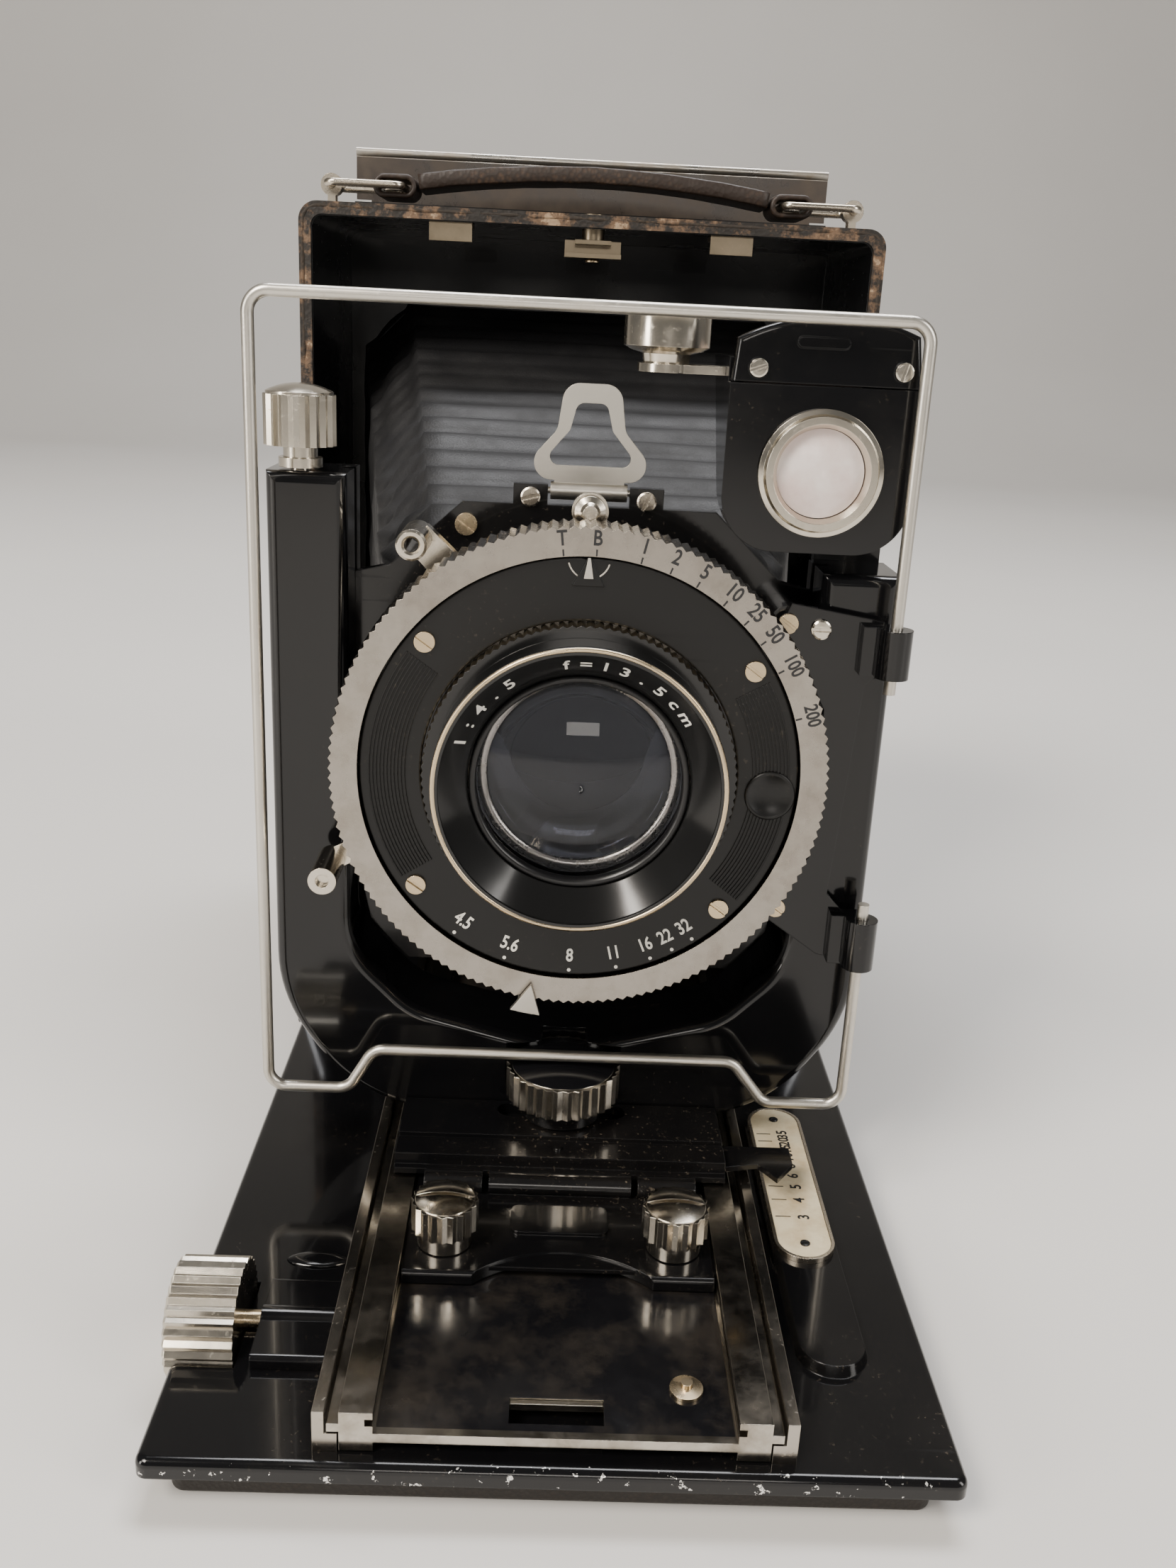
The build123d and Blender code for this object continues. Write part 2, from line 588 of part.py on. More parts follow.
with BuildPart() as u_frame:
    with BuildSketch(front(U_FRONT)):
        with BuildLine():
            FilletPolyline((-ARM_OUT, LEFT_TOP), (-ARM_OUT, bed(26.8)), (-33.1, bed(6.4)), (33.1, bed(6.4)),
                           (ARM_OUT, bed(26.8)), (ARM_OUT, RIGHT_TOP), radius=26.0)
            Line((ARM_OUT, RIGHT_TOP), (ARM_IN, RIGHT_TOP))
            FilletPolyline((ARM_IN, RIGHT_TOP), (ARM_IN, bed(36)), (25.0, bed(25.5)), (0, bed(19.2)),
                           (-25.0, bed(25.5)), (-ARM_IN, bed(36)), (-ARM_IN, LEFT_TOP), radius=13.0)
            Line((-ARM_IN, LEFT_TOP), (-ARM_OUT, LEFT_TOP))
        make_face()
    extrude(amount=-(U_BACK - U_FRONT))
    fillet(u_frame.faces().sort_by(Axis.Y)[0].edges(), 1.6)
    # shoe that slides across the foot
    with Locations((0, -73.9, bed(5.9))):
        Box(28, 15.6, 1.0)
    # both arms are channels, open at the back
    for s, top in ((-1, bed(108.5)), (1, bed(97.5))):
        with Locations((s * 41.2, -71.9, (bed(42) + top) / 2)):
            Box(8.8, 12.2, top - bed(42), mode=Mode.SUBTRACT)
        with Locations((s * 36.2, (BOARD_FRONT + BOARD_BACK) / 2, bed(80))):
            Box(2.2, 2.6, 100, mode=Mode.SUBTRACT)
    with Locations((RISE_X, RISE_Y, bed(109))):
        Cylinder(SCREW_R + 0.1, 10, mode=Mode.SUBTRACT)
    # recess and bearing lug of the cross-front knob
    with Locations((0, CROSS_Y, bed(16.3))):
        Cylinder(10.0, 7.6, mode=Mode.SUBTRACT)
    with Locations((0, CROSS_Y, bed(11.0))):
        Cylinder(6.5, 2.4)
    with Locations((0, CROSS_Y + 4, bed(11.0))):
        Box(13, 8, 2.4)
    with Locations((0, CROSS_Y, bed(9))):
        Cylinder(1.6, 12, mode=Mode.SUBTRACT)
    # lug the finder turns on
    with BuildSketch(front(LUG_Y[0])):
        with Locations((41.2, bed(101))):
            Rectangle(10.4, 14)
        with Locations((FINDER_PIVOT[0], FINDER_PIVOT[1])):
            Circle(5.2)
        with Locations(FINDER_PIVOT):
            Circle(1.55, mode=Mode.SUBTRACT)
    extrude(amount=LUG_Y[0] - LUG_Y[1])
save(u_frame, "u_frame")

with BuildPart() as cross_knob:
    with BuildSketch(Plane.XY.offset(bed(13.0))):
        with Locations((0, CROSS_Y)):
            Polygon(*knurl_points(9.3, 0.5, 34), align=None)
    extrude(amount=5.4)
    chamfer(cross_knob.faces().sort_by(Axis.Z)[0].edges(), 0.2)
    with Locations((0, CROSS_Y, bed(7.6))):
        Cylinder(1.5, 5.6, align=(Align.CENTER, Align.CENTER, Align.MIN))
    with BuildSketch(front(CROSS_Y)):
        with BuildLine():
            Line((0, bed(18)), (8.4, bed(18)))
            Line((8.4, bed(18)), (8.4, bed(18.5)))
            ThreePointArc((8.4, bed(18.5)), (4.2, bed(18.5) + dome(8.4, 0.9)), (0, bed(19.4)))
            Line((0, bed(19.4)), (0, bed(18)))
        make_face()
    revolve(axis=Axis((0, CROSS_Y, 0), (0, 0, 1)))
save(cross_knob, "cross_knob")

with BuildPart() as rise_knob:
    with Locations((RISE_X, RISE_Y, bed(62))):
        Cylinder(SCREW_R, 51, align=(Align.CENTER, Align.CENTER, Align.MIN))
    with Locations((RISE_X, RISE_Y, bed(111.7))):
        Cylinder(3.2, 1.4, align=(Align.CENTER, Align.CENTER, Align.MIN))
    with Locations((RISE_X, RISE_Y, bed(112.6))):
        Cylinder(2.5, 3, align=(Align.CENTER, Align.CENTER, Align.MIN))
    with BuildSketch(Plane.XY.offset(bed(114.8))):
        with Locations((RISE_X, RISE_Y)):
            Polygon(*knurl_points(5.3, 0.4, 20), align=None)
    extrude(amount=7.2)
    with BuildSketch(front(RISE_Y)):
        with BuildLine():
            Line((RISE_X, bed(121)), (RISE_X + 4.9, bed(121)))
            Line((RISE_X + 4.9, bed(121)), (RISE_X + 4.9, bed(122.4)))
            ThreePointArc((RISE_X + 4.9, bed(122.4)), (RISE_X + 2.45, bed(122.4) + dome(4.9, 1.2)),
                          (RISE_X, bed(123.6)))
            Line((RISE_X, bed(123.6)), (RISE_X, bed(121)))
        make_face()
    revolve(axis=Axis((RISE_X, RISE_Y, 0), (0, 0, 1)))
save(rise_knob, "rise_knob")

# =====================================================================================
# brilliant finder: body, cover, bezel, lenses and mirror, with its spirit level
# =====================================================================================
FINDER_LEFT, FINDER_RIGHT = 18.9, 46.4
COVER_Z = bed(126.8)
EYE_X, EYE_Z = 32.8, bed(114.8)
FINDER_MID = (FINDER_LEFT + FINDER_RIGHT) / 2
FINDER_BACK = -58.0
SKIN = 1.3


def finder_outline(inset, top):
    """Front outline of the finder below the cover, as a closed sketch line."""
    left, right, low = FINDER_LEFT + inset, FINDER_RIGHT - inset, bed(103.3) + inset
    corner = 8.0 - inset
    FilletPolyline((left, top), (left, low), (right, low), (right, top), radius=corner)
    Line((right, top), (left, top))


def finder_side(inset):
    """Side profile of the finder: thin at the bottom, leaning back towards the top."""
    return [(FINDER_FRONT + inset, bed(100)), (FINDER_FRONT + inset, bed(134)), (FINDER_BACK - inset, bed(134)),
            (FINDER_BACK - inset, bed(131)), (-80.0 - inset, bed(104.5)), (-80.0 - inset, bed(100))]


with BuildPart() as finder_body:
    with BuildSketch(front(FINDER_FRONT)):
        with BuildLine():
            finder_outline(0, COVER_Z)
        make_face()
    extrude(amount=-(FINDER_BACK - FINDER_FRONT))
    with BuildSketch(front(FINDER_FRONT + 2.6)):
        Polygon((FINDER_LEFT, COVER_Z - 1), (FINDER_RIGHT, COVER_Z - 1), (FINDER_RIGHT, bed(130.2)),
                (FINDER_LEFT, bed(130.2)), align=None)
    extrude(amount=-(FINDER_BACK - FINDER_FRONT - 2.6))
    with BuildSketch(side(10)):
        Polygon(*finder_side(0), align=None)
    extrude(amount=50, mode=Mode.INTERSECT)
    # hollow it, leaving the skin
    with BuildSketch(front(FINDER_FRONT + SKIN)):
        with BuildLine():
            finder_outline(SKIN, bed(126.0))
        make_face()
        Polygon((FINDER_LEFT + SKIN, bed(125)), (FINDER_RIGHT - SKIN, bed(125)), (FINDER_RIGHT - SKIN, bed(128.7)),
                (FINDER_LEFT + SKIN, bed(128.7)), align=None)
    finder_hollow = extrude(amount=-(FINDER_BACK - FINDER_FRONT - 2 * SKIN), mode=Mode.PRIVATE)
    with BuildPart(mode=Mode.SUBTRACT):
        add(finder_hollow)
        with BuildSketch(side(10)):
            Polygon((FINDER_FRONT + SKIN, bed(108)), (FINDER_FRONT + SKIN, bed(134)),
                    (FINDER_BACK - SKIN, bed(134)), (FINDER_BACK - SKIN, bed(131.4)),
                    (-78.2, bed(108)), align=None)
        extrude(amount=50, mode=Mode.INTERSECT)
    # eye of the front lens and the window over the ground glass
    with BuildSketch(front(FINDER_FRONT)):
        with Locations((EYE_X, EYE_Z)):
            Circle(6.6)
    extrude(amount=-2.0, mode=Mode.SUBTRACT)
    with BuildSketch(Plane.XY.offset(bed(127))):
        with Locations((FINDER_MID, -69.5)):
            Rectangle(18.6, 17.0)
    extrude(amount=6, mode=Mode.SUBTRACT)
    # pivot boss and pin
    with BuildSketch(front(-79.6)):
        with Locations(FINDER_PIVOT):
            Circle(3.0)
    extrude(amount=-13.3)
    with BuildSketch(front(-66.5)):
        with Locations(FINDER_PIVOT):
            Circle(1.5)
    extrude(amount=-3.6)
save(finder_body, "finder_body")

with BuildPart() as finder_cover:
    with BuildSketch(front(FINDER_FRONT)):
        with BuildLine():
            Polyline((45.2, bed(134)), (46.2, COVER_Z + 0.2), (19.1, COVER_Z + 0.2), (19.6, bed(132.8)))
            ThreePointArc((19.6, bed(132.8)), (32, bed(136.3)), (45.2, bed(134)))
        make_face()
    extrude(amount=-2.4)
    fillet(finder_cover.faces().sort_by(Axis.Y)[0].edges().group_by(Axis.Z)[1:], 0.8)
    with BuildSketch(front(FINDER_FRONT)):
        with Locations((31.6, bed(132.6))):
            SlotOverall(7.4, 1.5)
    extrude(amount=0.35)
    for x, z in ((22.7, bed(128.9)), (43.2, bed(129.2))):
        with BuildSketch(front(FINDER_FRONT)):
            with Locations((x, z)):
                Circle(1.35)
        extrude(amount=0.45)
        with Locations((x, FINDER_FRONT - 0.45, z)):
            Box(0.45, 0.5, 3, mode=Mode.SUBTRACT)
save(finder_cover, "finder_cover")

with BuildPart() as finder_bezel:
    with BuildSketch(side(EYE_X)):
        with BuildLine():
            Polyline((FINDER_FRONT - 0.02, EYE_Z + 6.4), (FINDER_FRONT - 0.02, EYE_Z + 9.0),
                     (FINDER_FRONT - 0.9, EYE_Z + 9.0), (FINDER_FRONT - 1.1, EYE_Z + 8.3),
                     (FINDER_FRONT - 1.9, EYE_Z + 8.0), (FINDER_FRONT - 1.9, EYE_Z + 7.0),
                     (FINDER_FRONT - 0.9, EYE_Z + 6.4), close=True)
        make_face()
    revolve(axis=Axis((EYE_X, 0, EYE_Z), (0, 1, 0)))
save(finder_bezel, "finder_bezel")

with BuildPart() as finder_lens:
    with BuildSketch(side(EYE_X)):
        with BuildLine():
            Line((FINDER_FRONT + 1.4, EYE_Z), (FINDER_FRONT + 1.4, EYE_Z + 6.3))
            Line((FINDER_FRONT + 1.4, EYE_Z + 6.3), (FINDER_FRONT - 0.2, EYE_Z + 6.3))
            ThreePointArc((FINDER_FRONT - 0.2, EYE_Z + 6.3), (FINDER_FRONT - 0.2 - dome(6.3, 1.0), EYE_Z + 3.15),
                          (FINDER_FRONT - 1.2, EYE_Z))
            Line((FINDER_FRONT - 1.2, EYE_Z), (FINDER_FRONT + 1.4, EYE_Z))
        make_face()
    revolve(axis=Axis((EYE_X, 0, EYE_Z), (0, 1, 0)))
save(finder_lens, "finder_lens")

with BuildPart() as finder_screen:
    with Locations((FINDER_MID, -69.5, bed(129.2))):
        Box(18.4, 16.8, 1.2)
    with BuildSketch(side(FINDER_MID - 9.2)):
        with BuildLine():
            ThreePointArc((-77.9, bed(129.8)), (-69.5, bed(131.4)), (-61.1, bed(129.8)))
            Line((-61.1, bed(129.8)), (-77.9, bed(129.8)))
        make_face()
    extrude(amount=18.4)
save(finder_screen, "finder_screen")

with BuildPart() as finder_mirror:
    with BuildSketch(side(FINDER_MID - 9)):
        Polygon((-75.47, bed(111.4)), (-76.17, bed(111.97)), (-64.7, bed(126.18)), (-64.0, bed(125.6)), align=None)
    extrude(amount=18)
save(finder_mirror, "finder_mirror")

LEVEL_X, LEVEL_Y = 10.4, -72.0
with BuildPart() as level_cup:
    with BuildSketch(front(LEVEL_Y)):
        with BuildLine():
            Polyline((LEVEL_X, bed(127.6)), (LEVEL_X + 3.2, bed(127.6)), (LEVEL_X + 3.6, bed(130.0)),
                     (LEVEL_X + 5.2, bed(130.4)), (LEVEL_X + 6.3, bed(131.0)), (LEVEL_X + 6.3, bed(135.4)),
                     (LEVEL_X + 5.2, bed(135.4)), (LEVEL_X + 5.2, bed(132.6)), (LEVEL_X, bed(132.6)), close=True)
        make_face()
    revolve(axis=Axis((LEVEL_X, LEVEL_Y, 0), (0, 0, 1)))
    with BuildSketch(Plane.XY.offset(bed(127.4))):
        with Locations((LEVEL_X, LEVEL_Y)):
            Circle(4.2)
        with Locations(((LEVEL_X + FINDER_LEFT) / 2, LEVEL_Y)):
            Rectangle(FINDER_LEFT - LEVEL_X - 0.02, 7.0)
    extrude(amount=1.2)
save(level_cup, "level_cup")

with BuildPart() as level_vial:
    with BuildSketch(front(LEVEL_Y)):
        with BuildLine():
            Line((LEVEL_X, bed(132.62)), (LEVEL_X + 5.15, bed(132.62)))
            Line((LEVEL_X + 5.15, bed(132.62)), (LEVEL_X + 5.15, bed(135.2)))
            ThreePointArc((LEVEL_X + 5.15, bed(135.2)), (LEVEL_X + 2.575, bed(135.2) + dome(5.15, 0.7)),
                          (LEVEL_X, bed(135.9)))
            Line((LEVEL_X, bed(135.9)), (LEVEL_X, bed(132.62)))
        make_face()
    revolve(axis=Axis((LEVEL_X, LEVEL_Y, 0), (0, 0, 1)))
save(level_vial, "level_vial")

# =====================================================================================
# lens board with the shutter and the lens
# =====================================================================================
CASE_BACK, CASE_FRONT = -76.0, -90.3
HUB_FRONT, FACE_FRONT = -96.6, -97.6
BOARD_SCREWS = [(-18.4, bed(103.9)), (30.1, bed(93.0)), (32.3, bed(47.5))]
PULL_Y, PULL_Z = -70.5, bed(109.4)
PULL_TABS = [(-8.8, bed(108.6)), (8.8, bed(108.6))]
FACE_SCREW_R = 28.8
FACE_SCREW_ANGLES = (139.9, 34.7, -142.8, -42.4)


def polar(radius, degrees):
    """Point at a radius and angle round the lens axis, as X and Z."""
    a = math.radians(degrees)
    return radius * math.cos(a), LENS_Z + radius * math.sin(a)


def disc(inner, outer, y_back, y_front, mode=Mode.ADD):
    """Ring or disc on the lens axis between two depths, inside the builder in use."""
    with BuildSketch(front(y_back)) as ring:
        with Locations((0, LENS_Z)):
            Circle(outer)
            if inner > 0:
                Circle(inner, mode=Mode.SUBTRACT)
    extrude(ring.sketch, amount=y_back - y_front, mode=mode)


def sector(radius, from_deg, to_deg):
    """Wedge-shaped polygon round the lens axis, wide enough to cut a ring."""
    steps = 8
    points = [(0, LENS_Z)]
    for k in range(steps + 1):
        points.append(polar(radius, from_deg + (to_deg - from_deg) * k / steps))
    return points


with BuildPart() as lens_board:
    with BuildSketch(front(BOARD_BACK)):
        Polygon((-19.0, bed(107.3)), (19.6, bed(107.3)), (30.0, bed(97.2)), (35.0, bed(96.0)),
                (36.8, bed(95.5)), (36.8, bed(50.0)), (34.9, bed(49.0)), (34.9, bed(47.0)), (33.0, bed(38.0)),
                (27.0, bed(31.0)), (-27.0, bed(31.0)), (-33.0, bed(38.0)), (-34.9, bed(47.0)),
                (-34.9, bed(49.0)), (-36.8, bed(50.0)), (-36.8, bed(95.5)), (-35.0, bed(96.0)),
                (-30.0, bed(97.2)), align=None)
        with Locations((0, LENS_Z)):
            Circle(16.6, mode=Mode.SUBTRACT)
        with Locations(*BOARD_SCREWS):
            Circle(0.8, mode=Mode.SUBTRACT)
        with Locations(*PULL_TABS):
            Rectangle(5.2, 3.4)
    extrude(amount=BOARD_BACK - BOARD_FRONT)
    with Locations((0, PULL_Y, PULL_Z)):
        Cylinder(0.56, 16, rotation=(0, 90, 0), mode=Mode.SUBTRACT)
    # nut of the rising front, inside the left arm
    with Locations((-40.9, (BOARD_FRONT + BOARD_BACK) / 2, bed(87))):
        Box(8.4, BOARD_BACK - BOARD_FRONT, 6.0)
    with Locations((-41.0, -73.9, bed(87))):
        Box(7.8, 7.0, 6.0)
    with Locations((RISE_X, RISE_Y, bed(87))):
        Cylinder(SCREW_R + 0.1, 10, mode=Mode.SUBTRACT)
save(lens_board, "lens_board")


def screw_head(x, z, y_seat, radius=1.7, height=0.7, shank=0.0):
    """Slotted cheese head standing on a face at depth y_seat, with an optional shank behind it."""
    with BuildSketch(front(y_seat)) as head:
        with Locations((x, z)):
            Circle(radius)
    extrude(head.sketch, amount=height)
    with Locations((x, y_seat - height, z)):
        Box(2 * radius + 0.2, 0.6, 0.45, rotation=(0, 35, 0), mode=Mode.SUBTRACT)
    if shank > 0:
        with BuildSketch(front(y_seat)) as core:
            with Locations((x, z)):
                Circle(0.7)
        extrude(core.sketch, amount=-shank)


with BuildPart() as slotted_screws:
    screw_head(*BOARD_SCREWS[0], BOARD_FRONT, shank=1.6)
    for x, z in BOARD_SCREWS[1:]:
        screw_head(x, z, -82.6, radius=1.5)
    for angle in FACE_SCREW_ANGLES:
        screw_head(*polar(FACE_SCREW_R, angle), FACE_FRONT, radius=1.45, height=0.45)
save(slotted_screws, "slotted_screws")

HINGE_TOP = (bed(86.0), bed(93.3))
HINGE_LOW = (bed(38.9), bed(47.1))
with BuildPart() as wire_bracket:
    with BuildSketch(front(-81.4)):
        Polygon((27.5, bed(88.5)), (30.5, bed(96.0)), (44.5, bed(93.8)), (44.5, bed(86.0)), (42.5, bed(84.0)),
                (40.3, bed(50.0)), (43.2, bed(47.1)), (43.2, bed(38.9)), (39.5, bed(39.6)), (29.8, bed(46.4)),
                (33.0, bed(52.0)), (36.8, bed(56.0)), (36.8, bed(80.0)), (33.5, bed(86.0)), align=None)
    extrude(amount=1.2)
    # ears round the hinge wire
    for low, high in (HINGE_LOW, HINGE_TOP):
        with Locations((WIRE_RIGHT, WIRE_Y, low)):
            Cylinder(2.5, high - low, align=(Align.CENTER, Align.CENTER, Align.MIN))
        with Locations((43.4, -82.9, (low + high) / 2)):
            Box(4.6, 3.0, high - low)
    with Locations((WIRE_RIGHT, WIRE_Y, bed(66))):
        Cylinder(WIRE_R + 0.07, 80, mode=Mode.SUBTRACT)
    # posts back to the board
    for x, z in BOARD_SCREWS[1:]:
        with BuildSketch(front(-81.4)):
            with Locations((x, z)):
                Circle(2.4)
        extrude(amount=-(BOARD_FRONT + 81.4))
save(wire_bracket, "wire_bracket")

with BuildPart() as shutter_case:
    disc(22.0, 24.0, BOARD_FRONT, CASE_BACK)
    disc(0, 31.5, CASE_BACK, CASE_FRONT)
    disc(0, 30.9, CASE_FRONT, HUB_FRONT)
    disc(0, 16.3, -67.0, CASE_BACK)
    disc(0, 14.0, -60.0, -99.0, mode=Mode.SUBTRACT)
    # chamber of the blades
    disc(0, 19.0, -82.4, -85.4, mode=Mode.SUBTRACT)
save(shutter_case, "shutter_case")

with BuildPart() as face_plate:
    disc(22.4, 31.1, HUB_FRONT, FACE_FRONT)
    fillet(face_plate.faces().sort_by(Axis.Y)[0].edges(), 0.3)
    # index that points at the speeds
    with BuildSketch(front(FACE_FRONT)):
        Polygon((-2.2, LENS_Z + 27.2), (2.2, LENS_Z + 27.2), (0.25, LENS_Z + 31.0), (-0.25, LENS_Z + 31.0),
                align=None)
    extrude(amount=0.4)
save(face_plate, "face_plate")

with BuildPart() as lens_barrel:
    with BuildSketch(front(HUB_FRONT)):
        with Locations((0, LENS_Z)):
            Polygon(*knurl_points(22.2, 0.3, 110), align=None)
    extrude(amount=3.2)
    disc(0, 20.5, -99.6, -105.5)
    fillet(lens_barrel.faces().sort_by(Axis.Y)[0].edges(), 0.6)
    disc(0, 15.6, -96, -101.0, mode=Mode.SUBTRACT)
    # bevel inside the front rim
    with BuildSketch(side(0)):
        Polygon((-100.9, LENS_Z), (-100.9, LENS_Z + 15.6), (-105.0, LENS_Z + 19.4), (-106, LENS_Z + 19.4),
                (-106, LENS_Z), align=None)
    revolve(axis=Axis((0, 0, LENS_Z), (0, 1, 0)), mode=Mode.SUBTRACT)
save(lens_barrel, "lens_barrel")

with BuildPart() as front_glass:
    with BuildSketch(side(0)):
        with BuildLine():
            Line((-96.8, LENS_Z), (-96.8, LENS_Z + 15.5))
            Line((-96.8, LENS_Z + 15.5), (-99.0, LENS_Z + 15.5))
            ThreePointArc((-99.0, LENS_Z + 15.5), (-99.0 - dome(15.5, 4.2), LENS_Z + 7.75), (-103.2, LENS_Z))
            Line((-103.2, LENS_Z), (-96.8, LENS_Z))
        make_face()
    revolve(axis=Axis((0, 0, LENS_Z), (0, 1, 0)))
save(front_glass, "front_glass")

with BuildPart() as iris_blades:
    disc(8.5, 18.6, -83.6, -84.2)
save(iris_blades, "iris_blades")

with BuildPart() as rear_cell:
    disc(16.4, 19.0, -66.9, -69.45)
    disc(13.6, 19.0, -65.4, -66.95)
    disc(13.6, 15.9, -58.5, -65.5)
save(rear_cell, "rear_cell")

SOCKET = (-24.6, bed(103.4))
with BuildPart() as cable_socket:
    with BuildSketch(front(-82.0)):
        with Locations(SOCKET):
            Circle(2.2)
            Circle(1.0, mode=Mode.SUBTRACT)
    extrude(amount=10)
    chamfer(cable_socket.faces().sort_by(Axis.Y)[0].edges(), 0.35)
    # lug that ties it to the case
    with BuildSketch(front(-82.0)):
        Polygon((-26.0, bed(101.9)), (-23.1, bed(105.2)), (-18.6, bed(101.0)), (-21.2, bed(97.0)), align=None)
        with Locations((0, LENS_Z)):
            Circle(31.55, mode=Mode.SUBTRACT)
        with Locations(SOCKET):
            Circle(1.0, mode=Mode.SUBTRACT)
    extrude(amount=2.5)
save(cable_socket, "cable_socket")

WIRE_TOP, WIRE_LOW, BUMP_Z = bed(135.9), bed(13.8), bed(21.0)
with BuildPart() as wire_frame:
    with BuildLine(front(WIRE_Y)):
        FilletPolyline((WIRE_RIGHT, bed(83.5)), (WIRE_RIGHT, WIRE_TOP), (WIRE_LEFT, WIRE_TOP),
                       (WIRE_LEFT, WIRE_LOW), (-34.8, WIRE_LOW), (-30.7, BUMP_Z), (27.4, BUMP_Z),
                       (32.8, WIRE_LOW), (WIRE_RIGHT, WIRE_LOW), (WIRE_RIGHT, bed(49.6)), radius=3.0)
    with BuildSketch(Plane((WIRE_RIGHT, WIRE_Y, bed(83.5)), z_dir=(0, 0, 1))):
        Circle(WIRE_R)
    sweep()
    for z in (bed(47.6), bed(83.5)):
        with Locations((WIRE_RIGHT, WIRE_Y, z)):
            Cylinder(WIRE_R, 2.0, align=(Align.CENTER, Align.CENTER, Align.MIN))
save(wire_frame, "wire_frame")

with BuildPart() as pull_loop:
    with BuildSketch(front(PULL_Y + 0.5)):
        with BuildLine():
            FilletPolyline((-11.6, bed(111.0)), (-5.1, bed(118.4)), (-4.2, bed(125.2)), (4.2, bed(125.2)),
                           (5.1, bed(118.4)), (11.6, bed(111.0)), radius=2.6, close=True)
        make_face()
        with BuildLine():
            FilletPolyline((-7.6, bed(113.2)), (-3.2, bed(118.4)), (-2.2, bed(122.4)), (2.2, bed(122.4)),
                           (3.2, bed(118.4)), (7.6, bed(113.2)), radius=1.3, close=True)
        make_face(mode=Mode.SUBTRACT)
        with Locations((0, (PULL_Z + bed(111.4)) / 2)):
            Rectangle(10.6, bed(111.4) - PULL_Z)
    extrude(amount=1.0)
    with Locations((0, PULL_Y, PULL_Z)):
        Cylinder(1.35, 11.6, rotation=(0, 90, 0))
        Cylinder(0.5, 15.0, rotation=(0, 90, 0))
save(pull_loop, "pull_loop")

with BuildPart() as speed_ring:
    with BuildSketch(front(-90.6)):
        with Locations((0, LENS_Z)):
            Polygon(*knurl_points(35.4, 0.45, 150), align=None)
            Circle(31.3, mode=Mode.SUBTRACT)
    extrude(amount=7.7)
save(speed_ring, "speed_ring")

with BuildPart() as aperture_lever:
    disc(31.7, 34.2, -85.8, -86.8)
    with BuildSketch(front(-85.8)):
        Polygon(polar(33.0, -97.5), polar(37.2, -98.0), polar(37.2, -102.0), polar(33.0, -102.5), align=None)
    extrude(amount=1.0)
    # bridge round the rim of the speed ring
    with BuildSketch(front(-85.8)):
        Polygon(polar(36.0, -98.2), polar(37.2, -98.2), polar(37.2, -101.8), polar(36.0, -101.8), align=None)
    extrude(amount=13.7)
    with BuildSketch(front(-98.7)):
        Polygon(polar(32.6, -100.0), polar(37.2, -96.6), polar(37.2, -103.4), align=None)
    extrude(amount=0.8)
save(aperture_lever, "aperture_lever")

with BuildPart() as cocking_lever:
    disc(31.7, 33.4, -87.2, -88.2)
    with BuildSketch(front(-87.2)):
        with Locations((0, LENS_Z + 34.2)):
            Rectangle(3.0, 3.6)
    extrude(amount=1.0)
    with BuildSketch(side(0)):
        Polygon((-87.2, LENS_Z + 36.0), (-87.2, LENS_Z + 38.6), (-88.2, LENS_Z + 38.6),
                (-88.2, LENS_Z + 38.0), (-89.0, LENS_Z + 38.2), (-89.4, LENS_Z + 37.4),
                (-90.2, LENS_Z + 37.0), (-90.2, LENS_Z + 36.0), align=None)
    revolve(axis=Axis((0, 0, LENS_Z + 36.0), (0, 1, 0)))
save(cocking_lever, "cocking_lever")

RELEASE_R, RELEASE_ANGLE = 41.8, -152.8
with BuildPart() as release_lever:
    with BuildSketch(front(-84.4)):
        with Locations((0, LENS_Z)):
            Circle(33.4)
            Circle(31.8, mode=Mode.SUBTRACT)
        Polygon(*sector(60, RELEASE_ANGLE - 24, RELEASE_ANGLE + 24), align=None, mode=Mode.INTERSECT)
        Polygon(polar(32.6, RELEASE_ANGLE - 3), polar(40.6, RELEASE_ANGLE - 2.4),
                polar(40.6, RELEASE_ANGLE + 2.4), polar(32.6, RELEASE_ANGLE + 3), align=None)
    extrude(amount=0.8)
    with BuildSketch(front(-84.4)):
        with Locations(polar(RELEASE_R, RELEASE_ANGLE)):
            Circle(2.1)
    extrude(amount=9.6)
    with BuildSketch(front(-93.0)):
        with Locations(polar(RELEASE_R, RELEASE_ANGLE)):
            Circle(1.0)
    extrude(amount=2, mode=Mode.SUBTRACT)
save(release_lever, "release_lever")

# =====================================================================================
# plate holder with its dark slide, bed catch, carrying strap with its links
# =====================================================================================
HOLDER_BOTTOM, HOLDER_TOP = 4.2, BODY_H + 4.0
with BuildPart() as plate_holder:
    with Locations((0, HOLDER_Y + HOLDER_T / 2, (HOLDER_BOTTOM + HOLDER_TOP) / 2)):
        Box(106.6, HOLDER_T, HOLDER_TOP - HOLDER_BOTTOM)
    with Locations((0, HOLDER_Y, MIDDLE_Z)):
        Box(WINDOW_W, 2.4, WINDOW_H, mode=Mode.SUBTRACT)
    with Locations((0, HOLDER_Y + 1.4, HOLDER_BOTTOM + 2.6 + 100)):
        Box(100.0, 1.1, 200, mode=Mode.SUBTRACT)
    with Locations((0, HOLDER_Y + 2.4, MIDDLE_Z)):
        Box(91.0, 1.8, 121.0, mode=Mode.SUBTRACT)
save(plate_holder, "plate_holder")

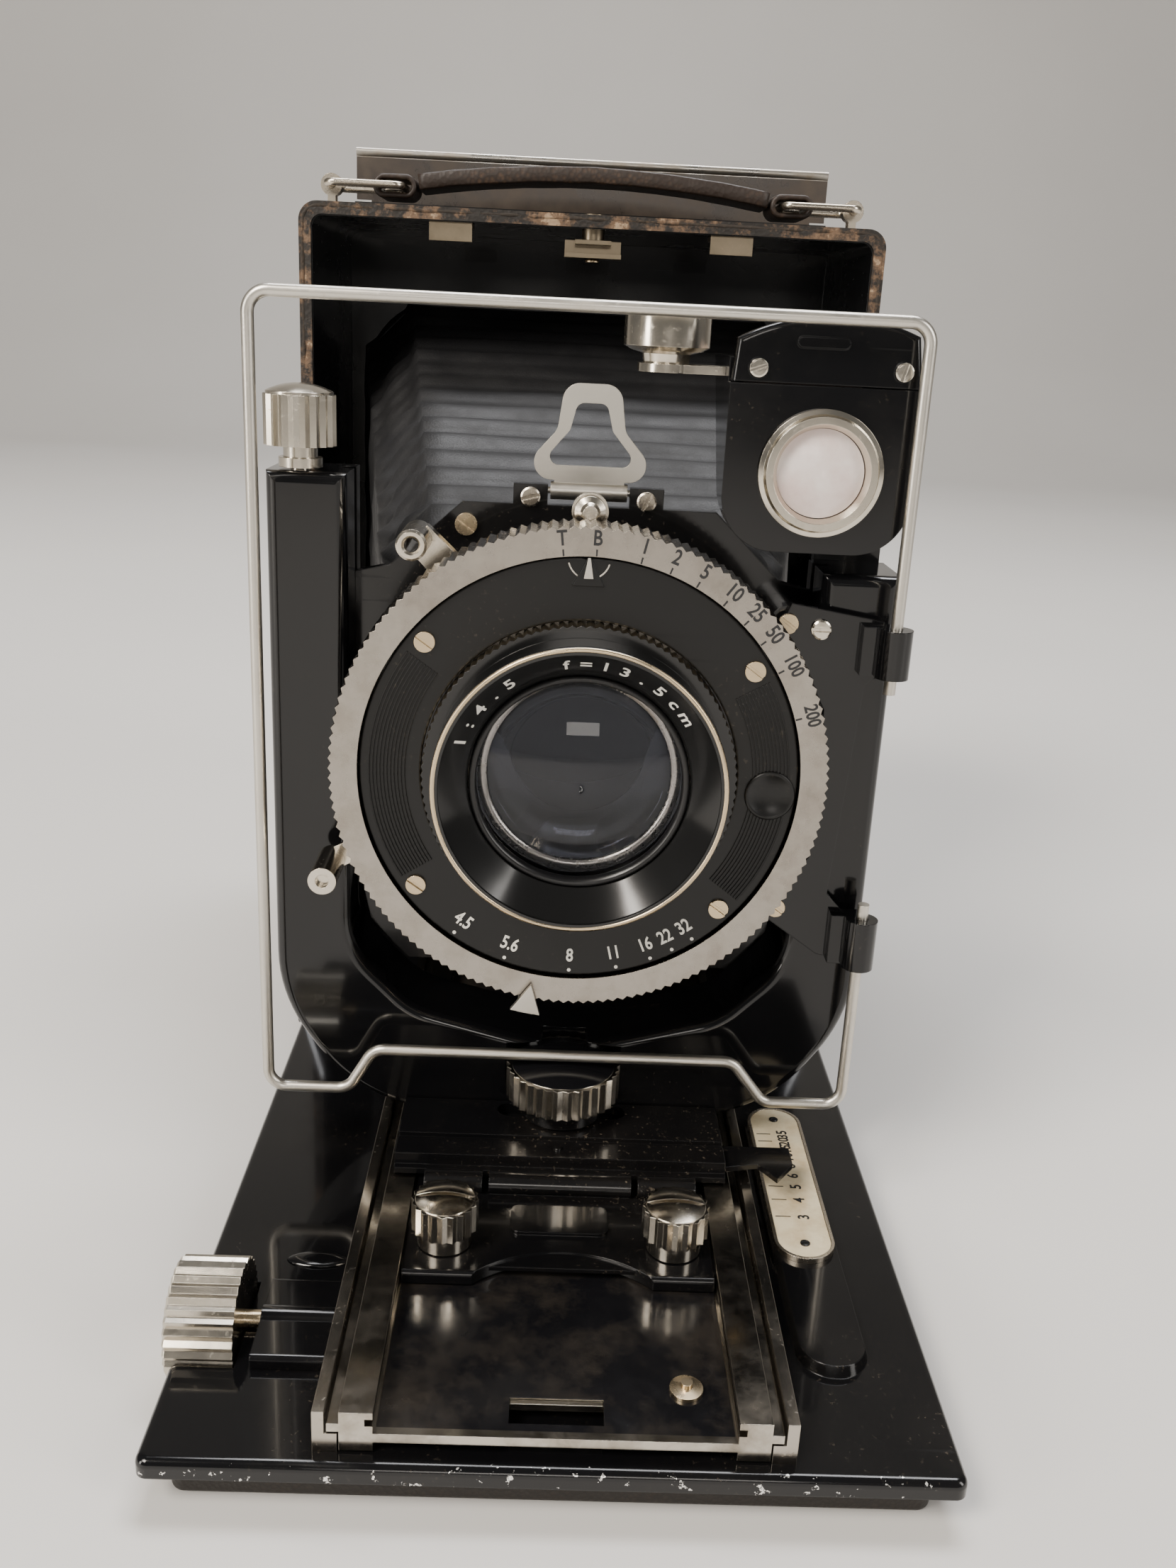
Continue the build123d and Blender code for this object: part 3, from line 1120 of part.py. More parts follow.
SLIDE_Y = HOLDER_Y + 1.4
ROLL_Z = bed(167.7)
with BuildPart() as dark_slide:
    with Locations((0, SLIDE_Y, (HOLDER_BOTTOM + 3.0 + HOLDER_TOP + 0.6) / 2)):
        Box(99.4, 0.6, HOLDER_TOP + 0.6 - HOLDER_BOTTOM - 3.0)
    with Locations((0, SLIDE_Y, (HOLDER_TOP + 0.5 + ROLL_Z) / 2)):
        Box(106.0, 0.6, ROLL_Z - HOLDER_TOP - 0.5)
    with Locations((0, SLIDE_Y, ROLL_Z)):
        Cylinder(0.95, 106.0, rotation=(0, 90, 0))
save(dark_slide, "dark_slide")

with BuildPart() as bed_latch:
    with BuildSketch(side(-5.5)):
        Polygon((3.0, bed(145.7)), (3.0, bed(146.6)), (6.2, bed(146.6)), (6.2, CEILING - 1.8),
                (7.2, CEILING - 1.8), (7.2, bed(145.7)), align=None)
    extrude(amount=11)
    with Locations((0, 5.2, CEILING - 2.2)):
        Box(7, 4.0, 0.8)
    with Locations((0, 5.5, CEILING - 2.2)):
        Cylinder(2.2, BODY_H + 0.4 - CEILING + 2.2, align=(Align.CENTER, Align.CENTER, Align.MIN))
save(bed_latch, "bed_latch")

STRAP_T = 3.0
STRAP_END = 38.9
EYE_MID = 40.5                   # the link's inner bar slides outwards in this eye as the strap lifts
with BuildPart() as handle_strap:
    with BuildSketch(front(STRAP_Y - STRAP_W / 2)):
        with BuildLine():
            ThreePointArc((-36, bed(157.6)), (0, bed(160.6)), (36, bed(157.6)))
            Line((36, bed(157.6)), (36, bed(160.8)))
            ThreePointArc((36, bed(160.8)), (0, bed(163.8)), (-36, bed(160.8)))
            Line((-36, bed(160.8)), (-36, bed(157.6)))
        make_face()
        for s in (-1, 1):
            with Locations((s * EYE_MID, LINK_Z)):
                SlotOverall(9.2, 4.8)
            with Locations((s * 35.6, LINK_Z + 0.6)):
                Rectangle(3.0, 4.2)
        with Locations((-EYE_MID, LINK_Z), (EYE_MID, LINK_Z)):
            SlotOverall(6.6, 2.3, mode=Mode.SUBTRACT)
    extrude(amount=-STRAP_W)
save(handle_strap, "handle_strap")


def link(s):
    """Wire ring between the eyelet and the strap's end loop; s is -1 on the left."""
    with BuildPart() as ring:
        with BuildLine(Plane.XY.offset(LINK_Z)):
            FilletPolyline((s * LINK_X, STRAP_Y - 8.0), (s * STRAP_END, STRAP_Y - 8.0),
                           (s * STRAP_END, STRAP_Y + 8.0), (s * LINK_X, STRAP_Y + 8.0), radius=1.6,
                           close=True)
        with BuildSketch(Plane((s * (LINK_X + STRAP_END) / 2, STRAP_Y - 8.0, LINK_Z), z_dir=(1, 0, 0))):
            Circle(0.75)
        sweep()
    return ring


left_link = link(-1)
save(left_link, "left_link")
right_link = link(1)
save(right_link, "right_link")
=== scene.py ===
import math

import bmesh
import bpy
from mathutils import Matrix, Vector, noise


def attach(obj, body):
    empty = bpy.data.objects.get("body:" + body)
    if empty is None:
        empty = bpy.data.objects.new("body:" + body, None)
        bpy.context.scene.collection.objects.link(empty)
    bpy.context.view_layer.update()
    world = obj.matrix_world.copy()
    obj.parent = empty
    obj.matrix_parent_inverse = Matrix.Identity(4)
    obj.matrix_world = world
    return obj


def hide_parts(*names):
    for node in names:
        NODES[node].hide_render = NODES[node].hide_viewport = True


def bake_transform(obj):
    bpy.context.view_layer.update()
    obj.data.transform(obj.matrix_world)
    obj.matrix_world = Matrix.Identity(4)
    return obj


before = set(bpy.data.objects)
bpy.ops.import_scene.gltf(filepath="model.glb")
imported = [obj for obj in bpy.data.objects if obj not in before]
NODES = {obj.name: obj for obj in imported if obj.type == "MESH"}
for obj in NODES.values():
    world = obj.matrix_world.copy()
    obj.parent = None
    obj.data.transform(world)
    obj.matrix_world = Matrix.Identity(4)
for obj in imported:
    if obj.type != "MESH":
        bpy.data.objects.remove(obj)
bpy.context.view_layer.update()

MM = 0.001
BED_Z = 8.0                        # height of the opened bed's top face, mm
LENS_Z = 80.7                      # height of the lens axis, mm
FLANGE_FRONT = -0.09965            # depth where the barrel's brassy flange begins, m
SLIDE_ROLL = 0.17465               # height where the dark slide's rolled edge begins, m
PLATE_HALF, PLATE_FRONT = 0.02235, -0.1462   # black part of the carriage between its runners, m


# ---------------------------------------------------------------- materials
class Finish:
    """A node material on the Principled shader, with its textures in the part's own metres."""

    def __init__(self, name, color, rough, metal=0.0, coat=0.0, specular=0.5):
        self.mat = bpy.data.materials.new(name)
        self.mat.use_nodes = True
        self.tree = self.mat.node_tree
        self.shader = self.tree.nodes["Principled BSDF"]
        self.set("Base Color", (*color, 1.0))
        self.set("Roughness", rough)
        self.set("Metallic", metal)
        self.set("Coat Weight", coat)
        self.set("Specular IOR Level", specular)
        self.where = self.node("ShaderNodeTexCoord").outputs["Object"]
        self.normal = None

    def node(self, kind, **values):
        made = self.tree.nodes.new(kind)
        for key, value in values.items():
            setattr(made, key, value)
        return made

    def link(self, a, b):
        self.tree.links.new(a, b)

    def set(self, socket, value):
        self.shader.inputs[socket].default_value = value

    def stretched(self, scale):
        mapping = self.node("ShaderNodeMapping")
        mapping.inputs["Scale"].default_value = scale
        self.link(self.where, mapping.inputs["Vector"])
        return mapping.outputs["Vector"]

    def noise(self, scale, detail=4.0, rough=0.55, stretch=None, distortion=0.0):
        tex = self.node("ShaderNodeTexNoise")
        tex.inputs["Scale"].default_value = scale
        tex.inputs["Detail"].default_value = detail
        tex.inputs["Roughness"].default_value = rough
        tex.inputs["Distortion"].default_value = distortion
        self.link(self.stretched(stretch) if stretch else self.where, tex.inputs["Vector"])
        return tex.outputs["Fac"]

    def cells(self, scale):
        tex = self.node("ShaderNodeTexVoronoi", feature="F1")
        tex.inputs["Scale"].default_value = scale
        self.link(self.where, tex.inputs["Vector"])
        return tex.outputs["Distance"]

    def band(self, value, low, high, out_low=0.0, out_high=1.0):
        rng = self.node("ShaderNodeMapRange", clamp=True)
        limits = (("From Min", low), ("From Max", high), ("To Min", out_low), ("To Max", out_high))
        for socket, number in limits:
            rng.inputs[socket].default_value = number
        self.link(value, rng.inputs["Value"])
        return rng.outputs["Result"]

    def math(self, operation, a, b=None):
        made = self.node("ShaderNodeMath", operation=operation)
        for socket, value in zip(made.inputs, (a, b)):
            if value is None:
                continue
            if isinstance(value, (int, float)):
                socket.default_value = value
            else:
                self.link(value, socket)
        return made.outputs[0]

    def axis(self, letter):
        split = self.node("ShaderNodeSeparateXYZ")
        self.link(self.where, split.inputs[0])
        return split.outputs[letter]

    def blend(self, fac, a, b):
        mix = self.node("ShaderNodeMix", data_type="RGBA")
        self.link(fac, mix.inputs["Factor"])
        for socket, value in ((mix.inputs[6], a), (mix.inputs[7], b)):
            if isinstance(value, tuple):
                socket.default_value = (*value, 1.0)
            else:
                self.link(value, socket)
        return mix.outputs[2]

    def color(self, output):
        self.link(output, self.shader.inputs["Base Color"])

    def rough(self, output):
        self.link(output, self.shader.inputs["Roughness"])

    def metal(self, output):
        self.link(output, self.shader.inputs["Metallic"])

    def soften(self, radius):
        """Rounds the look of sharp edges."""
        bevel = self.node("ShaderNodeBevel", samples=4)
        bevel.inputs["Radius"].default_value = radius
        self.normal = bevel.outputs["Normal"]
        self.link(self.normal, self.shader.inputs["Normal"])

    def bump(self, height, strength, distance):
        made = self.node("ShaderNodeBump")
        made.inputs["Strength"].default_value = strength
        made.inputs["Distance"].default_value = distance
        self.link(height, made.inputs["Height"])
        if self.normal is not None:
            self.link(self.normal, made.inputs["Normal"])
        self.normal = made.outputs["Normal"]
        self.link(self.normal, self.shader.inputs["Normal"])


NICKEL = (0.66, 0.61, 0.52)
TARNISH = (0.36, 0.30, 0.22)
DUST = (0.16, 0.13, 0.095)


def enamel(name, rough=0.10, dust=0.35, chips=None, soft=0.00025, base=(0.0035, 0.0035, 0.004),
           coat=0.22):
    """Glossy black stoving enamel with dust, hairline scratches and, where asked, chips at an edge."""
    f = Finish(name, base, rough, coat=coat, specular=0.35)
    f.set("Coat Roughness", 0.05)
    f.soften(soft)
    specks = f.band(f.noise(1400, 3, 0.6), 0.62, 0.72)
    clouds = f.band(f.noise(38, 5, 0.6), 0.46, 0.75)
    film = f.math("MULTIPLY", f.math("MULTIPLY", specks, clouds), dust)
    haze = f.math("MULTIPLY", clouds, dust * 0.04)
    dusty = f.blend(f.math("ADD", film, haze), base, DUST)
    scratch = f.band(f.noise(300, 2, 0.5, stretch=(0.08, 1.0, 3.0), distortion=0.3), 0.69, 0.72)
    f.rough(f.band(f.math("ADD", clouds, f.math("MULTIPLY", scratch, 0.6)), 0.0, 1.4, rough, rough + 0.22))
    f.bump(f.noise(90, 2, 0.5), 0.04, 0.0006)
    if chips is not None:
        axis, low, high = chips
        edge = f.band(f.axis(axis), low, high)
        flaking = f.math("ADD", f.math("MULTIPLY", edge, 0.17), f.noise(420, 6, 0.7))
        hit = f.math("GREATER_THAN", flaking, 0.775)
        f.color(f.blend(hit, dusty, (0.80, 0.79, 0.76)))
        f.metal(f.math("MULTIPLY", hit, 0.55))
    else:
        f.color(dusty)
    return f.mat


def nickel(name, rough=0.16, color=NICKEL, grime=0.5, soft=0.00012, satin=0.0):
    """Old nickel plate: slightly yellow, clouded, with darker grime in patches."""
    f = Finish(name, color, rough, metal=1.0)
    f.soften(soft)
    clouds = f.band(f.noise(160, 6, 0.65), 0.42, 0.72)
    spots = f.band(f.noise(1100, 4, 0.6), 0.60, 0.70)
    spotted = f.math("ADD", f.math("MULTIPLY", spots, 0.6), 0.4)
    dirt = f.math("MULTIPLY", f.math("MULTIPLY", clouds, spotted), grime)
    f.color(f.blend(dirt, color, TARNISH))
    f.rough(f.band(f.math("ADD", clouds, spots), 0.0, 2.0, rough, rough + 0.20))
    f.bump(f.noise(2200, 3, 0.6), 0.05 + satin, 0.00003)
    return f.mat


def two_tone(name, axis, limit, first, second, rough=(0.16, 0.12)):
    """Nickel up to a plane across the axis, black enamel beyond it, on one turned piece."""
    f = Finish(name, NICKEL, rough[0], metal=1.0)
    f.soften(0.00012)
    side = f.math("GREATER_THAN", f.axis(axis), limit)
    clouds = f.band(f.noise(200, 6, 0.65), 0.42, 0.75, 0.0, 0.5)
    f.color(f.blend(side, f.blend(clouds, first, TARNISH), second))
    f.metal(f.math("SUBTRACT", 1.0, side))
    f.rough(f.band(side, 0.0, 1.0, rough[0], rough[1]))
    f.bump(f.noise(2000, 3, 0.6), 0.05, 0.00003)
    return f.mat


def leather(name, base, worn, grain=1500, rough=0.42, rim=None, depth=0.00016, wear=0.5):
    """Pebbled leather; rim = (axis, low, high) adds tan flecks towards an edge."""
    f = Finish(name, base, rough, specular=0.45)
    pebbles = f.cells(grain)
    fine = f.noise(grain * 2.4, 3, 0.6)
    patches = f.band(f.noise(55, 6, 0.65), 0.44, 0.78, 0.0, wear)
    tops = f.band(pebbles, 0.0, 0.6, 1.0, 0.0)
    shade = f.blend(f.math("MULTIPLY", patches, tops), base, worn)
    if rim is not None:
        axis, low, high = rim
        near = f.band(f.axis(axis), low, high)
        flecks = f.math("ADD", f.noise(210, 6, 0.7), f.math("MULTIPLY", near, 0.16))
        shade = f.blend(f.band(flecks, 0.65, 0.74), shade, (0.13, 0.078, 0.044))
        shade = f.blend(f.band(flecks, 0.765, 0.80), shade, (0.30, 0.21, 0.13))
    f.color(shade)
    f.rough(f.band(f.math("ADD", patches, fine), 0.2, 1.4, rough - 0.08, rough + 0.25))
    f.bump(f.math("ADD", pebbles, f.math("MULTIPLY", fine, 0.35)), 0.55, depth)
    return f.mat


def glass(name, color, rough=0.0, ior=1.52):
    f = Finish(name, color, rough)
    f.set("Transmission Weight", 1.0)
    f.set("IOR", ior)
    smudge = f.band(f.noise(120, 5, 0.6), 0.50, 0.80, rough, rough + 0.015)
    f.rough(smudge)
    return f.mat


def brushed_ring(name):
    """Satin nickel silver turned on a lathe: fine rings round the lens axis."""
    f = Finish(name, (0.37, 0.34, 0.30), 0.28, metal=1.0)
    f.set("Anisotropic", 0.75)
    f.soften(0.0001)
    tangent = f.node("ShaderNodeTangent", direction_type="RADIAL", axis="Y")
    f.link(tangent.outputs[0], f.shader.inputs["Tangent"])
    clouds = f.band(f.noise(180, 6, 0.65), 0.45, 0.75, 0.0, 0.55)
    f.color(f.blend(clouds, (0.37, 0.34, 0.30), (0.21, 0.18, 0.145)))
    f.rough(f.band(f.noise(500, 5, 0.6), 0.3, 0.8, 0.20, 0.34))
    return f.mat


BLACK = enamel("enamel")
BLACK_DUSTY = enamel("enamel_dusty", rough=0.14, dust=0.75)
BLACK_BED = enamel("enamel_bed", rough=0.09, dust=0.45, chips=("Y", -0.1462, -0.1500))
BLACK_INSIDE = enamel("enamel_inside", rough=0.22, dust=0.3)
BLACK_SATIN = enamel("enamel_satin", rough=0.34, dust=0.25)
FACE_BLACK = enamel("enamel_face", rough=0.30, dust=0.35, coat=0.0, base=(0.004, 0.004, 0.004))
NICKEL_BRIGHT = nickel("nickel_bright")
NICKEL_OLD = nickel("nickel_old", rough=0.24, grime=0.85, color=(0.58, 0.52, 0.43))
NICKEL_DULL = nickel("nickel_dull", rough=0.32, grime=0.95, color=(0.20, 0.165, 0.115))
NICKEL_SATIN = nickel("nickel_satin", rough=0.33, color=(0.62, 0.59, 0.53), grime=0.4, satin=0.06)
RAIL = nickel("rail_nickel", rough=0.16, color=(0.52, 0.48, 0.42), grime=0.8)
BRASSY = nickel("brassy", rough=0.26, color=(0.62, 0.50, 0.33), grime=0.6)
RING = brushed_ring("speed_ring_satin")
BODY_LEATHER = leather("body_leather", (0.012, 0.0095, 0.0075), (0.07, 0.045, 0.028),
                       rim=("Y", 0.0040, -0.0006))
BED_LEATHER = leather("bed_leather_grain", (0.012, 0.0095, 0.0075), (0.06, 0.04, 0.026))
BELLOWS_LEATHER = leather("bellows_cloth", (0.0055, 0.0055, 0.0062), (0.020, 0.019, 0.018), grain=2600,
                          rough=0.54, depth=0.00005, wear=0.7)
STRAP_LEATHER = leather("strap_leather", (0.020, 0.012, 0.008), (0.11, 0.060, 0.030), grain=1100,
                        rough=0.46, depth=0.00012, wear=0.9)
LENS_GLASS = glass("lens_glass_clear", (0.72, 0.74, 0.80), ior=1.30)
WHITE_INK = Finish("white_filling", (0.72, 0.70, 0.64), 0.55).mat
BLACK_INK = Finish("black_filling", (0.010, 0.010, 0.011), 0.5).mat


def ivory_finish():
    f = Finish("ivory_scale", (0.66, 0.57, 0.38), 0.38, coat=0.3)
    stain = f.band(f.noise(170, 5, 0.6), 0.42, 0.8)
    f.color(f.blend(stain, (0.70, 0.61, 0.42), (0.42, 0.30, 0.15)))
    return f.mat


def finder_glass_finish():
    """Front lens of the finder, with the bright picture it shows painted in: a pale pinkish colour and a
    faint glow are painted light.
    """
    f = Finish("finder_lens_painted_glow", (0.80, 0.70, 0.66), 0.34, coat=0.25)
    f.set("Transmission Weight", 0.25)
    cloud = f.band(f.noise(160, 4, 0.6), 0.35, 0.75)
    f.color(f.blend(cloud, (0.86, 0.78, 0.74), (0.66, 0.50, 0.46)))
    # painted glow: faint emission standing in for the lit picture seen in the lens
    f.set("Emission Color", (0.9, 0.78, 0.72, 1.0))
    f.set("Emission Strength", 0.05)
    return f.mat


def red_finish():
    f = Finish("level_red", (0.30, 0.02, 0.015), 0.08, coat=1.0)
    f.set("Transmission Weight", 0.35)
    f.color(f.blend(f.band(f.noise(300, 3, 0.5), 0.4, 0.7), (0.34, 0.025, 0.02), (0.16, 0.01, 0.01)))
    return f.mat


def mirror_finish():
    f = Finish("mirror_silver", (0.85, 0.85, 0.83), 0.03, metal=1.0)
    f.rough(f.band(f.noise(140, 4, 0.6), 0.4, 0.8, 0.02, 0.12))
    return f.mat


IVORY = ivory_finish()
FINDER_GLASS = finder_glass_finish()
RED_GLASS = red_finish()
MIRROR = mirror_finish()
CROSS = two_tone("cross_knob_two_tone", "Z", (BED_Z + 18.45) * MM, NICKEL, (0.006, 0.006, 0.007))


def barrel_finish():
    """Black lens barrel on a knurled brassy flange."""
    f = Finish("lens_barrel_black", (0.006, 0.006, 0.006), 0.16)
    f.soften(0.00012)
    flange = f.math("GREATER_THAN", f.axis("Y"), FLANGE_FRONT)
    worn = f.band(f.noise(400, 4, 0.6), 0.45, 0.7)
    brass = f.blend(worn, (0.55, 0.47, 0.34), (0.24, 0.18, 0.11))
    f.color(f.blend(flange, (0.006, 0.006, 0.006), brass))
    f.metal(flange)
    f.rough(f.band(flange, 0.0, 1.0, 0.14, 0.28))
    return f.mat


BARREL = barrel_finish()


def carriage_finish():
    """Black plate between nickel runners, with a bright front edge."""
    f = Finish("carriage_two_tone", NICKEL, 0.2, metal=1.0)
    f.soften(0.00012)
    x = f.math("ABSOLUTE", f.axis("X"))
    inner = f.math("LESS_THAN", x, PLATE_HALF)
    top = f.math("GREATER_THAN", f.axis("Z"), (BED_Z + 2.85) * MM)
    back = f.math("GREATER_THAN", f.axis("Y"), PLATE_FRONT)
    plate = f.math("MULTIPLY", f.math("MULTIPLY", inner, top), back)
    clouds = f.band(f.noise(150, 6, 0.65), 0.40, 0.74)
    metal = f.blend(clouds, (0.58, 0.54, 0.47), (0.27, 0.23, 0.18))
    dusty = f.blend(f.band(f.noise(60, 6, 0.7), 0.45, 0.85, 0.0, 0.25), (0.005, 0.005, 0.006), DUST)
    f.color(f.blend(plate, metal, dusty))
    f.metal(f.math("SUBTRACT", 1.0, plate))
    f.rough(f.band(clouds, 0.0, 1.0, 0.12, 0.32))
    return f.mat


def slide_finish():
    """Dark stove-enamelled slide with a rolled bright edge."""
    f = Finish("dark_slide_two_tone", (0.030, 0.024, 0.019), 0.45)
    roll = f.math("GREATER_THAN", f.axis("Z"), SLIDE_ROLL)
    clouds = f.band(f.noise(120, 6, 0.65), 0.40, 0.74)
    sheet = f.blend(clouds, (0.028, 0.022, 0.018), (0.06, 0.045, 0.032))
    edge = f.blend(clouds, (0.50, 0.48, 0.44), (0.26, 0.22, 0.17))
    f.color(f.blend(roll, sheet, edge))
    f.metal(roll)
    f.rough(f.band(clouds, 0.0, 1.0, 0.25, 0.5))
    return f.mat


CAD_FINISH = {
    BLACK: ["u_frame", "finder_body", "finder_cover", "lens_board", "wire_bracket", "pinion_housing",
            "distance_pointer", "bed_braces", "shutter_case"],
    BLACK_DUSTY: ["standard_foot", "cross_rail"],
    BLACK_BED: ["bed_plate"],
    BLACK_INSIDE: ["body_shell", "body_rails"],
    BLACK_SATIN: ["back_frame", "plate_holder", "iris_blades", "rear_cell"],
    FACE_BLACK: ["face_plate"],
    NICKEL_BRIGHT: ["left_grip", "right_grip", "focus_knob", "level_cup", "finder_bezel",
                    "rise_knob", "cable_socket", "cocking_lever", "release_lever"],
    NICKEL_DULL: ["bed_clips", "bed_latch"],
    NICKEL_OLD: ["strap_eyelets", "left_link", "right_link", "tripod_bushes",
                 "bed_hinge_pin", "bed_foot", "scale_rim"],
    NICKEL_SATIN: ["wire_frame", "pull_loop", "aperture_lever"],
    BRASSY: ["stop_pin", "focus_pinion", "slotted_screws"],
    RING: ["speed_ring"],
    BODY_LEATHER: ["leather_covering"],
    BED_LEATHER: ["bed_leather"],
    IVORY: ["distance_scale"],
    FINDER_GLASS: ["finder_lens"],
    LENS_GLASS: ["front_glass"],
    RED_GLASS: ["level_vial"],
    MIRROR: ["finder_mirror"],
    BARREL: ["lens_barrel"],
    CROSS: ["cross_knob"],
    RAIL: ["left_track", "right_track"],
    slide_finish(): ["dark_slide"],
    carriage_finish(): ["carriage_plate"],
}


for finish, names in CAD_FINISH.items():
    for name in names:
        for holder in NODES[name].material_slots:
            holder.material = finish


# ---------------------------------------------------------------- making meshes
def piece(name, verts, faces, finish, body, smooth=True):
    """New mesh object from points in millimetres, riding on a CAD body."""
    mesh = bpy.data.meshes.new(name)
    mesh.from_pydata([tuple(c * MM for c in v) for v in verts], [], faces)
    mesh.validate()
    bm = bmesh.new()
    bm.from_mesh(mesh)
    bmesh.ops.recalc_face_normals(bm, faces=bm.faces)
    bm.to_mesh(mesh)
    bm.free()
    for poly in mesh.polygons:
        poly.use_smooth = smooth
    obj = bpy.data.objects.new(name, mesh)
    bpy.context.collection.objects.link(obj)
    obj.data.materials.append(finish)
    if body:
        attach(obj, body)
    return obj


def loft(rings, closed=True, caps=False):
    """Vertices and faces joining rings of equal length."""
    count = len(rings[0])
    verts = [p for ring in rings for p in ring]
    faces = []
    for i in range(len(rings) - 1):
        for j in range(count if closed else count - 1):
            k = (j + 1) % count
            faces.append((i * count + j, i * count + k, (i + 1) * count + k, (i + 1) * count + j))
    if caps:
        faces.append(tuple(range(count)))
        faces.append(tuple((len(rings) - 1) * count + j for j in range(count)))
    return verts, faces


def loop_loft(rings):
    """Like loft, but the last ring joins the first again."""
    verts, faces = loft(rings + [rings[0]])
    total = len(verts) - len(rings[0])
    return verts[:total], [tuple(v % total for v in f) for f in faces]


def turned(name, profile, centre, axis, finish, body, steps=64, ring=False):
    """Solid of revolution: profile = (distance along the axis, radius) pairs, in millimetres."""
    rings = []
    for along, radius in profile:
        circle = []
        for k in range(steps):
            a = 2 * math.pi * k / steps
            u, v = radius * math.cos(a), radius * math.sin(a)
            offset = {"y": (u, along, v), "z": (u, v, along), "x": (along, u, v)}[axis]
            circle.append(tuple(c + o for c, o in zip(centre, offset)))
        rings.append(circle)
    verts, faces = loop_loft(rings) if ring else loft(rings, caps=True)
    return piece(name, verts, faces, finish, body)


def radial(radius, degrees, y):
    a = math.radians(degrees)
    return (radius * math.cos(a), y, LENS_Z + radius * math.sin(a))


class Lettering:
    """Figures and marks collected into one thin mesh."""

    def __init__(self):
        self.bm = bmesh.new()

    def figure(self, text, size, matrix, thick=0.05, squeeze=1.0):
        curve = bpy.data.curves.new("figure", "FONT")
        curve.body = text
        curve.size = size * MM
        curve.align_x = "CENTER"
        curve.align_y = "CENTER"
        curve.extrude = thick * MM
        curve.offset = 0.018 * size * MM
        curve.resolution_u = 3
        temp = bpy.data.objects.new("figure", curve)
        bpy.context.collection.objects.link(temp)
        bpy.context.view_layer.update()
        solved = temp.evaluated_get(bpy.context.evaluated_depsgraph_get())
        mesh = bpy.data.meshes.new_from_object(solved)
        mesh.transform(matrix @ Matrix.Diagonal((squeeze, 1, 1, 1)))
        self.bm.from_mesh(mesh)
        bpy.data.objects.remove(temp)
        bpy.data.meshes.remove(mesh)
        bpy.data.curves.remove(curve)

    def on_face(self, text, size, degrees, radius, y, inward=False, squeeze=0.9):
        turn = math.radians(degrees + (90 if inward else -90))
        upright = Matrix.Rotation(math.radians(90), 4, "X")
        spin = Matrix.Rotation(-turn, 4, "Y")
        x, _, z = radial(radius, degrees, y)
        place = Matrix.Translation((x * MM, y * MM, z * MM)) @ spin @ upright
        self.figure(text, size, place, squeeze=squeeze)

    def mark(self, degrees, r0, r1, width, y, thick=0.06):
        half = math.degrees(width / 2 / ((r0 + r1) / 2))
        corners = [radial(r0, degrees - half, y), radial(r1, degrees - half, y),
                   radial(r1, degrees + half, y), radial(r0, degrees + half, y)]
        self.slab(corners, (0, -thick, 0))

    def slab(self, corners, lift):
        low = [self.bm.verts.new([c * MM for c in p]) for p in corners]
        high = [self.bm.verts.new([(c + d) * MM for c, d in zip(p, lift)]) for p in corners]
        count = len(corners)
        self.bm.faces.new(low)
        self.bm.faces.new(high[::-1])
        for i in range(count):
            j = (i + 1) % count
            self.bm.faces.new((low[i], high[i], high[j], low[j]))

    def dot(self, x, z, radius, y, thick=0.06):
        angles = [2 * math.pi * k / 12 for k in range(12)]
        corners = [(x + radius * math.cos(a), y, z + radius * math.sin(a)) for a in angles]
        self.slab(corners, (0, -thick, 0))

    def done(self, name, finish, body, slot):
        bmesh.ops.recalc_face_normals(self.bm, faces=self.bm.faces)
        mesh = bpy.data.meshes.new(name)
        self.bm.to_mesh(mesh)
        self.bm.free()
        obj = bpy.data.objects.new(name, mesh)
        bpy.context.collection.objects.link(obj)
        mesh.materials.append(finish)
        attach(obj, body)
        return obj


# ---------------------------------------------------------------- dials
SPEEDS = (("T", 96.4), ("B", 88.3), ("1", 77.2), ("2", 69.6), ("5", 62.2), ("10", 54.0), ("25", 46.8),
          ("50", 40.1), ("100", 31.4), ("200", 18.2))
STOPS = (("4.5", -124.8), ("5.6", -108.9), ("8", -90.3), ("11", -77.0), ("16", -67.0), ("22", -60.4),
         ("32", -54.0))
RING_FACE, PLATE_FACE = -98.32, -97.62

dial = Lettering()
for text, angle in SPEEDS:
    dial.on_face(text, 2.9 if len(text) < 3 else 2.7, angle, 33.75, RING_FACE, squeeze=0.8)
    dial.mark(angle, 31.4, 32.3, 0.22, RING_FACE)
dial.done("speed_figures", BLACK_INK, "speed_dial", "satin_black")

stops = Lettering()
for text, angle in STOPS:
    stops.on_face(text, 2.9, angle, 27.9, PLATE_FACE, inward=True, squeeze=0.75)
    x, _, z = radial(30.2, angle, PLATE_FACE)
    stops.dot(x, z, 0.27, PLATE_FACE)
stops.done("aperture_figures", WHITE_INK, "lens_panel", "ivory")

ribs = Lettering()
for first, last in ((145.0, 213.0), (-37.0, 30.0)):
    for k in range(11):
        r = 24.6 + 0.5 * k
        steps = 28
        for i in range(steps):
            a0 = first + (last - first) * i / steps
            a1 = first + (last - first) * (i + 1) / steps
            corners = [radial(r, a0, PLATE_FACE), radial(r + 0.25, a0, PLATE_FACE),
                       radial(r + 0.25, a1, PLATE_FACE), radial(r, a1, PLATE_FACE)]
            ribs.slab(corners, (0, -0.16, 0))
ribs.done("face_ribs", FACE_BLACK, "lens_panel", "satin_black")

